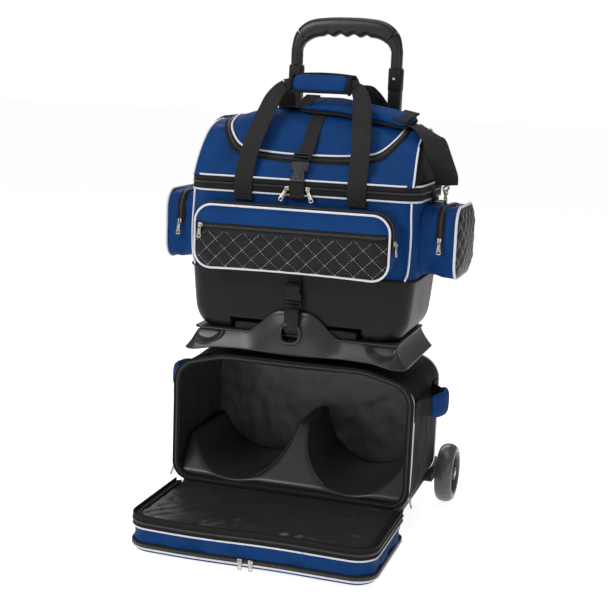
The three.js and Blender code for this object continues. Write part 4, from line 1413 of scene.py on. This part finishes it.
# Levels of the tub as (height, half width, front, back, corner radius)
TUB_OUTSIDE = [
    (389.6, 176, 34, 246, 24), (389.4, 186, 26, 254, 28), (390.8, 198, 20, 260, 32),
    (397, 208, 16.5, 263.5, 35), (408, 216, 14.2, 265, 37), (424, 222, 13, 266, 38),
    (450, 225.5, 12.6, 266.4, 39), (480, 228.5, 12.2, 266.8, 40), (505, 230.6, 12, 267, 40),
    (511, 231, 12, 267, 40)]
TUB_INSIDE = [(511, 227, 16, 263, 37), (470, 223, 17, 261, 36), (420, 216, 19, 259, 34),
              (397, 190, 30, 250, 28)]


def add_tub():
    levels = spline(TUB_OUTSIDE, 3)
    rings = np.stack([tub_loop(*row) for row in (*levels, *TUB_INSIDE)])
    points, faces, uv = grid(rings, closed_v=True)
    centres = points[np.array(faces)].mean(1)
    notch = (np.abs(np.abs(centres[:, 0]) - 95) < 42) & (centres[:, 1] < 30) & (centres[:, 2] < 411.5)
    faces = [face for face, cut in zip(faces, notch) if not cut]
    make("tote_tub", (points, faces, uv), MOULDED, "tote", ("tote_shell",))
    make("tub_floor", disc(rectangle(-184, 28, 184, 252, 26, 8), 12, "z", 389.6), MOULDED, "tote")
    pockets = []
    for side in (-1, 1):
        x0, x1 = side * 95 - 42, side * 95 + 42
        arch = np.array([(x0, 399), (x0, 411), (x1, 411), (x1, 399)], float)
        inside = even(arch, 4)
        walls = grid(np.stack([on_plane(inside, "y", y) for y in (12.6, 24, 39)]))
        back = grid(np.stack([on_plane(np.column_stack([inside[:, 0], np.full(len(inside), z)]), "y", 39)
                              for z in (399, 411)]))
        pockets += [walls, back]
    make("tub_notches", joined(*pockets), MOULDED, "tote")
    binding = tub_loop(511.5, 232.4, 10.8, 268.2, 41)
    make("tub_binding", tube(binding, 3.1, True), ZIP_TAPE, "tote")


def body_outline(grow, count=400):
    half = TOTE_HALF_WIDTH + grow
    loop = rectangle(-half, TOTE_FRONT_Y - grow, half, TOTE_BACK_Y + grow, 40 + grow, 1.0)
    return resampled(loop, count)


BODY_CORNER = [(221, 16, 664), (221.6, 15.2, 640), (223.5, 14.4, 600), (223, 14.2, 560), (221, 14.6, 530),
               (216, 13.4, 514)]


def add_tote_body():
    heights = np.linspace(SHELL_TOP_Z + 1, BODY_TOP_Z + 2, 34)
    rings = []
    for z in heights:
        slack = math.sin(math.pi * (z - SHELL_TOP_Z) / (BODY_TOP_Z - SHELL_TOP_Z))
        rings.append(on_plane(body_outline(-0.4 - 1.8 * slack), "z", z))
    points, faces, uv = grid(np.stack(rings), closed_v=True)
    hold = smooth_step(points[:, 2], 512, 535) * (1 - smooth_step(points[:, 2], 640, 661))
    cloth = creased((points, faces, uv), 4.6, 58, 31, (1, 1, 0.8), hold)
    make("tote_body_cloth", cloth, BLUE, "tote", ("tote_body",))
    for name, side in SIDES:
        bend = spline([(side * x, y, z) for x, y, z in BODY_CORNER], 3)
        add_piping(f"body_corner_piping_{name}", bend, "tote")


def add_mid_band():
    """The double black zip band that joins the shoe compartment to the tote."""
    outline = body_outline(1.6)
    outward = on_plane(to_the_right(outline, True), "z", 0)
    ring = on_plane(outline, "z", 680)
    parts = []
    for z, width in ((672.5, 11), (680.5, 4.4), (688.5, 10)):
        parts.append(sweep(ring + (0, 0, z - 680), oval(width, 3.4, 16, 3.4), UP, True))
    backing = sweep(ring - outward * 1.6, oval(31, 2, 16, 6), UP, True)
    make("mid_band_tape", joined(backing, *parts), ZIP_TAPE, "tote", ("tote_zip_band",))
    coil = sweep(ring + outward * 1.4 + (0, 0, 0.4), oval(4.6, 2.8, 12, 3), UP, True)
    make("mid_band_coil", coil, ZIP_COIL, "tote")
    add_piping("mid_band_lower_piping", on_plane(body_outline(2.0), "z", 665), "tote", True, 2.0)
    add_piping("mid_band_upper_piping", on_plane(body_outline(1.6), "z", 694.6), "tote", True, 1.9)
    for name, side in SIDES:
        add_pull(f"mid_band_pull_{name}", "tote", (-4 + side * 21, 9.6, 678), (0, -1, 0.05), (-side, 0, 0.1),
                 (side * 0.42, -0.18, -0.9), 25)


END_PROFILE = [(TOTE_FRONT_Y, BAND_TOP_Z), (27, 724), (43, 748), (65, 771), (92, 786), (125, 795), (165, 798),
               (200, 789), (240, 773), (262, 745), (TOTE_BACK_Y, BAND_TOP_Z)]
MIDDLE_PROFILE = [(TOTE_FRONT_Y, BAND_TOP_Z), (36, 712), (58, 734), (82, 764), (108, 793), (135, 812),
                  (165, 820), (200, 812), (240, 792), (262, 755), (TOTE_BACK_Y, BAND_TOP_Z)]
COVER_HALF_WIDTH = 222
COVER_STEPS = 72
COVER_ENDS = spline(np.array(END_PROFILE, float), 1.0)
COVER_MIDDLE = spline(np.array(MIDDLE_PROFILE, float), 1.0)


def cover_section(x):
    """The shoe compartment's crowned section at x, as (y, z) points from its front foot to its back foot."""
    crown = 1 - min(1, abs(x) / 228) ** 2.5
    ends = COVER_ENDS[np.linspace(0, len(COVER_ENDS) - 1, COVER_STEPS).astype(int)]
    middle = COVER_MIDDLE[np.linspace(0, len(COVER_MIDDLE) - 1, COVER_STEPS).astype(int)]
    return ends + (middle - ends) * crown


def cover_height(x, y):
    """Height of the shoe compartment's top above a plan position."""
    section = cover_section(x)
    top = section[: np.argmax(section[:, 0]) + 1]
    return float(np.interp(y, top[:, 0], top[:, 1]))


def end_lean(z):
    """How far the compartment's ends lean in at a height."""
    return 5 * float(smooth_step(z, 694, 800))


def cover_point(x, y, lift=0.0):
    z = cover_height(x, y) + lift
    squeeze = 1 - end_lean(z) / TOTE_HALF_WIDTH * min(1, abs(x) / COVER_HALF_WIDTH) ** 3
    return (x * squeeze, y, z)


# Rings of an end panel from its seam inwards, as (size, how far it stands out)
END_DOME = [(1, 0), (0.99, 2.2), (0.96, 3.6), (0.88, 4.6), (0.7, 5.2), (0.45, 5.0), (0.2, 4.8), (0.0, 4.8)]


def add_cover():
    rows = []
    for x in np.linspace(-COVER_HALF_WIDTH, COVER_HALF_WIDTH, 150):
        near_end = (abs(x) / COVER_HALF_WIDTH) ** 3
        rows.append([(x * (1 - end_lean(z) / TOTE_HALF_WIDTH * near_end), y, z) for y, z in cover_section(x)])
    points, faces, uv = grid(np.array(rows))
    edge = inside_rounded(points[:, 0], points[:, 1], -186, 56, 186, 300, 60)
    hold = smooth_step(COVER_HALF_WIDTH - np.abs(points[:, 0]), 0, 26) * smooth_step(points[:, 2], 695, 712)
    hold *= 1 - smooth_step(edge, -14, -2)
    skin = creased((points, faces, uv), 7.5, 58, 41, (1, 0.8, 1), hold)
    dip = smooth_step(edge, 4, 14)
    skin = (skin[0] - (0, 0, 1) * dip[:, None] * 3.5, skin[1], skin[2])
    cover = make("shoe_cover_cloth", skin, BLUE, "tote", ("upper_cover",))
    thicken(cover, 2)
    for name, side in SIDES:
        section = cover_section(COVER_HALF_WIDTH)
        rim = np.array([(side * (222.6 - end_lean(z)), y, z) for y, z in section])
        centre = np.array((139, 735))
        rings = []
        for shrink, out in END_DOME:
            flat = centre + (rim[:, 1:] - centre) * shrink
            rings.append([(side * (222.6 - end_lean(z) + out), y, z) for y, z in flat])
        panel = grid(np.array(rings), closed_v=True)
        panel = creased(panel, 2.4, 52, 51 + side)
        make(f"shoe_end_{name}", panel, BLACK, "tote", (f"upper_end_{name}",))
        front_run = even(rim[: int(COVER_STEPS * 0.98)], 3)
        add_piping(f"shoe_end_piping_{name}", front_run + (side * 0.6, 0, 0.6), "tote")


LID_ZIP = [(-189, 300, 0), (-189, 54, 62), (189, 54, 62), (189, 300, 0)]
LID_EDGE = [(-182, 262, 0), (-182, 61, 55), (182, 61, 55), (182, 262, 0)]


def lid_run(corners, y_stop, lift, spacing=3.0):
    """A D-shaped route round the lid, laid on the cover, stopping at y_stop on both sides."""
    loop = rounded_loop(corners, spacing, closed=False)
    loop = loop[loop[:, 1] < y_stop]
    return spline(np.array([cover_point(x, y, lift) for x, y in loop[::2]]), spacing)


def cover_normals(path):
    """Outward directions of the cover under a path."""
    result = []
    for x, y, _ in path:
        step = 3
        slope_x = (cover_height(x + step, y) - cover_height(x - step, y)) / (2 * step)
        slope_y = (cover_height(x, y + step) - cover_height(x, y - step)) / (2 * step)
        result.append((-slope_x, -slope_y, 1))
    return unit(result)


def add_lid():
    xs = np.linspace(-182, 182, 130)
    ys = np.linspace(61, 252, 76)
    rows = []
    for y in ys:
        inset = 55 - math.sqrt(max(0.0, 55 ** 2 - max(0.0, 116 - y) ** 2)) if y < 116 else 0.0
        rows.append([cover_point(x * (182 - inset) / 182, y, 0) for x in xs])
    points, faces, uv = grid(np.array(rows))
    edge = inside_rounded(points[:, 0], points[:, 1], -181, 61, 181, 400, 55)
    crown = smooth_step(edge, 0, 46)
    out = cover_normals(points)
    points = points + out * (2.2 + 6.5 * crown)[:, None]
    hold = smooth_step(edge, 2, 30)
    lid = creased((points, faces, uv), 2.8, 70, 61, (0.8, 1, 1), hold)
    piece = make("lid_cloth", lid, BLUE, "tote", ("top_lid",))
    thicken(piece, 2.5)
    zip_path = lid_run(LID_ZIP, 262, 1.8)
    add_zip("lid_zip", zip_path, cover_normals(zip_path), 18, "tote", replaces=("lid_zip_band",))
    add_piping("lid_piping", lid_run(LID_EDGE, 258, 3.2), "tote", radius=2.2)


# ---- Pockets ----

def pocket_bulge(x, z):
    """Y of the front pocket's face: crowned, with puffed diamonds below its zip."""
    edge = inside_rounded(x, z, -POCKET_HALF_WIDTH, POCKET_LOW_Z, POCKET_HALF_WIDTH, POCKET_TOP_Z,
                          POCKET_CORNER)
    crown = 7.5 * smooth_step(edge, 0, 34) + 3 * smooth_step(edge, 0, 12)
    crease = 2.2 * np.exp(-((z - POCKET_ZIP_Z) / 7) ** 2)
    quilted = smooth_step(POCKET_ZIP_Z - 7 - z, 0, 4) * smooth_step(edge, 0, 9)
    return POCKET_FRONT_Y + 10 - crown + crease - 2.6 * quilted * diamond_puff(x, z - POCKET_QUILT_Z)


def pocket_outline(grow=0.0, spacing=2.6):
    """The front pocket's seam, its foot drawn up a little in the middle."""
    half = POCKET_HALF_WIDTH + grow
    loop = rectangle(-half, POCKET_LOW_Z - grow, half, POCKET_TOP_Z + grow, POCKET_CORNER + grow, spacing)
    low = smooth_step(560 - loop[:, 1], 0, 40)
    loop[:, 1] += 4.5 * low * (1 - (loop[:, 0] / POCKET_HALF_WIDTH) ** 2)
    return loop


def pocket_panel(keep_low, keep_high):
    """The part of the pocket's face between two heights, as a fine grid fitted to its outline."""
    points, faces, _ = disc(pocket_outline(), 2.4, "y", 0)
    centres = points[np.array(faces)].mean(1)
    faces = [face for face, z in zip(faces, centres[:, 2]) if keep_low < z < keep_high]
    points[:, 1] = pocket_bulge(points[:, 0], points[:, 2])
    return points, faces, points[:, (0, 2)].copy()


def add_front_pocket():
    upper = pocket_panel(POCKET_ZIP_Z - 3, 1000)
    edge = inside_rounded(upper[0][:, 0], upper[0][:, 2], -POCKET_HALF_WIDTH, POCKET_LOW_Z,
                          POCKET_HALF_WIDTH, POCKET_TOP_Z, POCKET_CORNER)
    hold = smooth_step(edge, 2, 16) * smooth_step(upper[0][:, 2] - POCKET_ZIP_Z, 4, 24)
    upper = creased(upper, 3.0, 66, 71, (1, 1, 0.7), hold)
    thicken(make("pocket_upper_cloth", upper, BLUE, "tote", ("front_pocket_face",)), 2)
    thicken(make("pocket_quilting", pocket_panel(0, POCKET_ZIP_Z), QUILT, "tote", ("front_pocket_quilt",)), 2)

    def keep(a, b):
        return inside_rounded(a, b + POCKET_QUILT_Z, -192, POCKET_LOW_Z + 3, 192, POCKET_TOP_Z, 33)

    def on_face(a, b):
        z = b + POCKET_QUILT_Z
        return np.column_stack([a, pocket_bulge(a, z), z])

    low, high = (-194, POCKET_LOW_Z + 4 - POCKET_QUILT_Z), (194, POCKET_ZIP_Z - 10 - POCKET_QUILT_Z)
    add_stitching("pocket_stitching", diamond_lines(low, high, keep), on_face, (0, -1, 0))
    count = 380
    rings = []
    for y, grow in spline([(12, 6), (2, 5.6), (-10, 4.6), (-22, 3), (-34, 1), (-40, 0)], 3):
        loop = pocket_outline(0, 1.0)
        flare = grow * smooth_step(loop[:, 1], POCKET_LOW_Z, POCKET_LOW_Z + 60)
        centre = np.array((0, POCKET_LOW_Z + 40))
        loop = loop + unit(loop - centre) * flare[:, None]
        rings.append(on_plane(resampled(loop, count), "y", y))
    sides = creased(grid(np.stack(rings), closed_v=True), 2.4, 48, 73)
    make("pocket_side_cloth", sides, BLUE, "tote", ("front_pocket_gusset",))
    add_piping("pocket_piping", on_plane(pocket_outline(0.6), "y", -41.5), "tote", True, 2.2)
    side, low, high = POCKET_HALF_WIDTH + 3, 560, POCKET_TOP_Z + 2.6
    corners = [(-side, low, 0), (-side, high, 34), (side, high, 34), (side, 574, 0)]
    arch = rounded_loop(corners, 3, closed=False)
    outward = on_plane(-to_the_right(arch), "y", -0.35)
    add_zip("pocket_main_zip", on_plane(arch, "y", -27), outward, 21, "tote")
    add_pull("pocket_main_pull", "tote", (200, -28, 590), (1, -0.1, 0), UP, (0.12, -0.1, -1), 22)
    xs = np.arange(-189, 190, 3.0)
    path = np.column_stack([xs, pocket_bulge(xs, np.full(len(xs), float(POCKET_ZIP_Z))) - 0.6,
                            np.full(len(xs), float(POCKET_ZIP_Z))])
    add_zip("pocket_front_zip", path, (0, -1, 0), 14, "tote")
    add_pull("pocket_front_pull", "tote", (-181, POCKET_FRONT_Y + 2.5, POCKET_ZIP_Z), (0, -1, 0.1),
             (-1, 0, 0), (-0.05, -0.1, -1), 22)


SIDE_LOW_Z, SIDE_TOP_Z, SIDE_FRONT_Y, SIDE_BACK_Y = 515, 654, 62, 240
SIDE_QUILT_Y, SIDE_QUILT_Z = 151, 584
SIDE_CORNER = 36


def side_bulge(y, z):
    """How far a side pocket's quilted face stands out from its seam."""
    edge = inside_rounded(y, z, SIDE_FRONT_Y, SIDE_LOW_Z, SIDE_BACK_Y, SIDE_TOP_Z, SIDE_CORNER)
    dome = 17 * np.sqrt(np.clip(edge / 62, 0, 1)) * (1 - 0.12 * smooth_step(edge, 30, 70))
    return dome + 2.4 * smooth_step(edge, 0, 10) * (diamond_puff(y - SIDE_QUILT_Y, z - SIDE_QUILT_Z) - 0.8)


def side_outline(grow, spacing):
    """A side pocket's seam, as (y, z) points."""
    return rectangle(SIDE_FRONT_Y - grow, SIDE_LOW_Z - grow, SIDE_BACK_Y + grow, SIDE_TOP_Z + grow,
                     SIDE_CORNER + grow, spacing)


def add_side_pocket(name, side):
    points, faces, _ = disc(side_outline(0, 2.6), 2.4, "x", 0)
    points[:, 0] = side * (SIDE_SEAM_X + side_bulge(points[:, 1], points[:, 2]))
    face = (points, faces, points[:, 1:].copy())
    thicken(make(f"side_quilting_{name}", face, QUILT, "tote", (f"side_pocket_quilt_{name}",)), 2)

    def keep(a, b):
        return inside_rounded(a + SIDE_QUILT_Y, b + SIDE_QUILT_Z, SIDE_FRONT_Y + 2, SIDE_LOW_Z + 2,
                              SIDE_BACK_Y - 2, SIDE_TOP_Z - 2, 34)

    def on_face(a, b):
        y, z = a + SIDE_QUILT_Y, b + SIDE_QUILT_Z
        return np.column_stack([side * (SIDE_SEAM_X + side_bulge(y, z)), y, z])

    low, high = (SIDE_FRONT_Y - SIDE_QUILT_Y + 1, SIDE_LOW_Z - SIDE_QUILT_Z + 1), (88, 69)
    add_stitching(f"side_stitching_{name}", diamond_lines(low, high, keep), on_face, (side, 0, 0))
    rings = []
    for x, grow in spline([(231, 1), (244, -2.5), (262, -3.6), (282, -1.6), (299.5, 0)], 3):
        rings.append(on_plane(resampled(side_outline(grow, 1.0), 300), "x", side * x))
    cloth = creased(grid(np.stack(rings), closed_v=True), 3.2, 46, 80 + side)
    make(f"side_pocket_cloth_{name}", cloth, BLUE, "tote", (f"side_pocket_gusset_{name}",))
    seam = on_plane(side_outline(0.6, 3), "x", side * 300.6)
    add_piping(f"side_piping_{name}", seam, "tote", True, 2.7)
    corners = [(SIDE_FRONT_Y, 590, 0), (SIDE_FRONT_Y, SIDE_TOP_Z, SIDE_CORNER),
               (SIDE_BACK_Y, SIDE_TOP_Z, SIDE_CORNER), (SIDE_BACK_Y, 560, 0)]
    arch = rounded_loop(corners, 3, closed=False)
    outward = on_plane(-to_the_right(arch), "x", 0)
    add_zip(f"side_zip_{name}", on_plane(arch, "x", side * 270) - outward * 2.2, outward, 17, "tote")
    add_pull(f"side_pull_{name}", "tote", (side * 270, 59.5, 592), (0, -1, 0), UP,
             (side * 0.04, -0.12, -1), 24)


# ---- Lid strap, carry loops and shoulder strap ----

def add_lid_strap():
    over = [(206, 815), (186, 822), (165, 826), (135, 819), (106, 800), (80, 771), (56, 742), (46, 733)]
    rows = [(4 - 1.1 * i, y - 3.2, z + 3.6, 1, 0, 0) for i, (y, z) in enumerate(over)]
    path, wide = carried(rows)
    make("lid_strap_webbing", webbing(path, wide, 29, 2.3), WEBBING, "tote", ("lid_strap",))
    slope = basis((-4.4, 34.5, 734), (1, 0, 0), (0, 28, 28))
    lock = moved(ladder_lock(37, 19), slope @ Matrix.Translation((0, -9, 4)))
    body = moved(side_release_buckle(35, 44), basis((-4.4, 28, 728), (1, 0, 0), (0, 0.55, 0.83)))
    make("lid_buckle_lock", lock, MOULDED, "tote", creased_edges=True)
    make("lid_buckle_body", body, BUCKLE, "tote", ("lid_buckle",))
    tail = [(-4.4, y, z, 1, 0, 0) for y, z in ((5.4, 690), (4.6, 680), (4.8, 668), (7, 656))]
    path, wide = carried(tail)
    roll = tube(spline([(-19, 3.4, 662), (-4.4, 2.6, 662), (10, 3.4, 662)], 2), 3.4)
    make("lid_buckle_tab", joined(webbing(path, wide, 29, 2.6), roll), WEBBING, "tote")


def carry_rows(rise, lean):
    """Rows for a whole webbing loop from one leg's route; its width turns to lie across the top."""
    rows = []
    count = len(rise)
    for i, (x, y, z) in enumerate(rise):
        turn = max(0, i - (count - 4)) / 3
        rows.append((-x, y, z, 1 - turn, turn * lean, turn * 0.83))
    for i, (x, y, z) in reversed(list(enumerate(rise))):
        turn = max(0, i - (count - 4)) / 3
        rows.append((x, y, z, -(1 - turn), turn * lean, turn * 0.83))
    return rows


FRONT_LEG = [(115, 7.6, 650), (115, 7.2, 692), (113, 26, 738), (106, 57, 786), (97, 87, 828), (89, 106, 856),
             (75, 118, 873), (52, 122, 879), (20, 123, 880)]
REAR_LEG = [(115, 272.3, 650), (115, 272.6, 750), (112, 262, 786), (104, 232, 826), (95, 200, 856),
            (86, 175, 873), (72, 160, 881), (52, 154, 885), (20, 153, 886)]


def add_carry_loop(name, leg, lean, body, node):
    path, wide = carried(carry_rows(leg, lean), 0.9)
    high = smooth_step(path[:, 2], 835, 880)
    scales = np.column_stack([1 - 0.26 * high, np.ones(len(path))])
    make(f"{name}_webbing", webbing(path, wide, 38, 2.6, scales), WEBBING, body, (node,))
    out = -1 if body == "carry_front" else 1
    stitches = []
    for side in (-1, 1):
        a, b = side * 115 - 15, side * 115 + 15
        box_and_cross = [(a, 655), (b, 655), (b, 684), (a, 684), (a, 655), (b, 684)]
        square = even(box_and_cross, 1.2)
        y = leg[0][1] + out * 1.5
        stitches.append(tube(on_plane(square, "y", y), 0.55, sides=6))
    make(f"{name}_stitching", joined(*stitches), ZIP_COIL, body)


# Middle line of the wrap as (x, y, z, half height of the seam there)
WRAP_SEAM = [(-62, 123.4, 877, 15), (-30, 123, 879.6, 17.5), (0, 122.8, 880, 18), (30, 123, 879.6, 17.5),
             (62, 123.4, 877, 15)]


def add_handle_wrap():
    """The padded wrap that holds the loops together: blue face, black edge and backing."""
    middle = [(-60, 123.5, 877.5), (-30, 123.2, 879.6), (0, 123, 880), (30, 123.2, 879.6), (60, 123.5, 877.5)]
    path = spline(middle, 3)
    across = (0, 0.5, 0.86)
    along = np.linspace(-1, 1, len(path))
    ends = np.sqrt(np.clip(1 - np.abs(along) ** 9, 0.02, 1))
    pad = sweep(path, oval(37, 24, 30, 2.7), across, scales=np.column_stack([ends, ends]))
    cover = make("handle_wrap_pad", pad, BLUE, "carry_front", ("handle_wrap",))
    puff_up(cover, 3.0, 3.0, 3.5)
    edge = []
    for side in (-1, 1):
        out = np.array((0, -0.86, 0.5))
        seam = spline([(x, y, z + side * half) for x, y, z, half in WRAP_SEAM], 2.4)
        seam[:, 1] += side * 9.5
        edge.append(tube(seam + out * 2, 2.6))
    caps = []
    for x in (-60.5, 60.5):
        loop = on_plane(oval(35, 22, 36, 2.7), "x", 0)
        angle = math.atan2(0.86, 0.5)
        y = loop[:, 1] * math.cos(angle) - loop[:, 2] * math.sin(angle)
        z = loop[:, 1] * math.sin(angle) + loop[:, 2] * math.cos(angle)
        caps.append(tube(np.column_stack([np.full(len(y), x), 123.4 + y, 877.4 + z]), 3.2, True))
    make("handle_wrap_binding", joined(*edge, *caps), ZIP_TAPE, "carry_front")
    rows = []
    behind = [(-68, 136, 881), (-34, 137, 884), (0, 137.5, 885), (34, 137, 884), (68, 136, 881)]
    for x, y, z in spline(behind, 3):
        rows.append([(x, y + (t - 0.5) * 8, z + (t - 0.5) * 34 + 2.5 * math.sin(math.pi * t))
                     for t in np.linspace(0, 1, 12)])
    backing = make("handle_wrap_backing", grid(np.array(rows)), BLACK, "tote")
    thicken(backing, 4.5)


STRAP_ROUTE = [
    (-262, 140, 692), (-261, 148, 722), (-252, 166, 762), (-238, 184, 792), (-214, 200, 806),
    (-170, 206, 812), (-120, 198, 816), (-80, 170, 829), (-44, 148, 832), (0, 142, 831),
    (50, 138, 828), (100, 133, 821), (150, 126, 814), (195, 112, 806), (219, 92, 799),
    (245, 74, 779), (255, 84, 752), (260, 114, 726), (262, 136, 708), (262, 140, 692)]


def add_shoulder_strap():
    rows = []
    for i, (x, y, z) in enumerate(STRAP_ROUTE):
        side = min(1, max(0, (x - 196) / 66 if x > 0 else (-x - 248) / 26))
        wide = (math.copysign(side, x), 1 - side * 0.7, 0)
        if i in (6, 7):
            wide = ((0.75, 0.66, 0), (0.5, 0.85, 0))[i - 6]
        rows.append((x, y, z, *wide))
    path, wide = carried(rows)
    make("shoulder_strap_webbing", webbing(path, wide, 46, 2.2), WEBBING, "tote", ("shoulder_strap",))
    middle = spline([(x, y - 2, z + 8) for x, y, z in STRAP_ROUTE[8:14]], 3)
    along = np.linspace(-1, 1, len(middle))
    ends = 0.55 + 0.45 * np.sqrt(np.clip(1 - np.abs(along) ** 6, 0, 1))
    tilt = (0, 0.92, 0.4)
    sizes = np.column_stack([ends, ends ** 0.4])
    padding = sweep(middle, oval(58, 12, 36, 2.6), tilt, scales=sizes)
    pad = make("shoulder_pad_cover", padding, BLUE, "tote", ("shoulder_pad",))
    puff_up(pad, 3.5, 4.5, 4)
    under = sweep(middle + (0, 2, -5.6), oval(60, 5, 24, 4), tilt, scales=sizes)
    make("shoulder_pad_underside", under, ZIP_TAPE, "tote")
    for name, a, b in (("left", 0, 0.14), ("right", 0.86, 1)):
        span = middle[int(a * len(middle)): max(int(b * len(middle)), int(a * len(middle)) + 4)]
        tip = sweep(span + (0, -2.5, 6.6), oval(50, 4, 20, 4), tilt)
        make(f"shoulder_pad_tip_{name}", tip, WEBBING, "tote")


HOOK_X, HOOK_Y = 262, 140


def add_strap_hooks():
    for name, side in SIDES:
        x = side * HOOK_X
        bar = [(25, 684), (8, 681.5), (-8, 681.5), (-25, 684)]
        bar = [(x, HOOK_Y - 25, 689), (x, HOOK_Y, 690), (x, HOOK_Y + 25, 689),
               *((x, HOOK_Y + along, z) for along, z in bar)]
        bar = tube(spline(bar, 1.6, True), 2.3, True)
        swivel = lathe([(0.1, -5), (4.2, -5), (5.2, -2), (4.2, 2), (3, 5), (0.1, 5)], 0, 0, 0, 24)
        swivel = moved(swivel, basis((x, 140, 679), UP, (1, 0, 0)))
        hook = tube(spline([(x, 140, 675), (x, 134, 672), (x, 131, 664), (x, 136, 657.5), (x, 143.5, 657.5),
                            (x, 148, 663), (x, 147, 668)], 1.2), 2.1)
        gate = tube(spline([(x, 147, 668), (x, 145.6, 672), (x, 142, 675)], 1.2), 1.4)
        metal_parts = joined(bar, swivel, hook, gate)
        make(f"strap_hook_{name}_metal", metal_parts, NICKEL, "tote", (f"strap_hook_{name}",))
        ring = [(side * out, y, 660)
                for out, y in ((243, 128), (243, 152), (258, 150), (264, 140), (258, 130))]
        ring = tube(spline(ring, 1.4, True), 2.0, True)
        make(f"strap_ring_{name}", ring, NICKEL, "tote")
        tab = [(side * out, HOOK_Y, z, 0, 1, 0)
               for out, z in ((234.5, 690), (238, 676), (244, 662), (240, 656), (236, 668))]
        path, wide = carried(tab)
        make(f"strap_ring_tab_{name}", webbing(path, wide, 25, 2.2), WEBBING, "tote")


add_camera()
add_lights()
add_world()
add_floor()
add_lower_fabric()
add_lower_back()
add_lower_opening()
add_cradle()
add_side_grips()
add_flap_edge()
add_flap_rim()
add_flap_lining()
add_flap_pulls()
add_flap_hinge()
add_platform_skirt()
add_platform_deck()
add_docking()
add_trolley()
add_wheels()
add_tub()
add_tote_body()
add_mid_band()
add_cover()
add_lid()
add_front_pocket()
for side_name, side_sign in SIDES:
    add_side_pocket(side_name, side_sign)
add_lid_strap()
add_carry_loop("carry_front", FRONT_LEG, 0.55, "carry_front", "carry_loop_front")
add_carry_loop("carry_rear", REAR_LEG, 0.2, "tote", "carry_loop_rear")
add_handle_wrap()
add_shoulder_strap()
add_strap_hooks()
finish_cad_nodes()
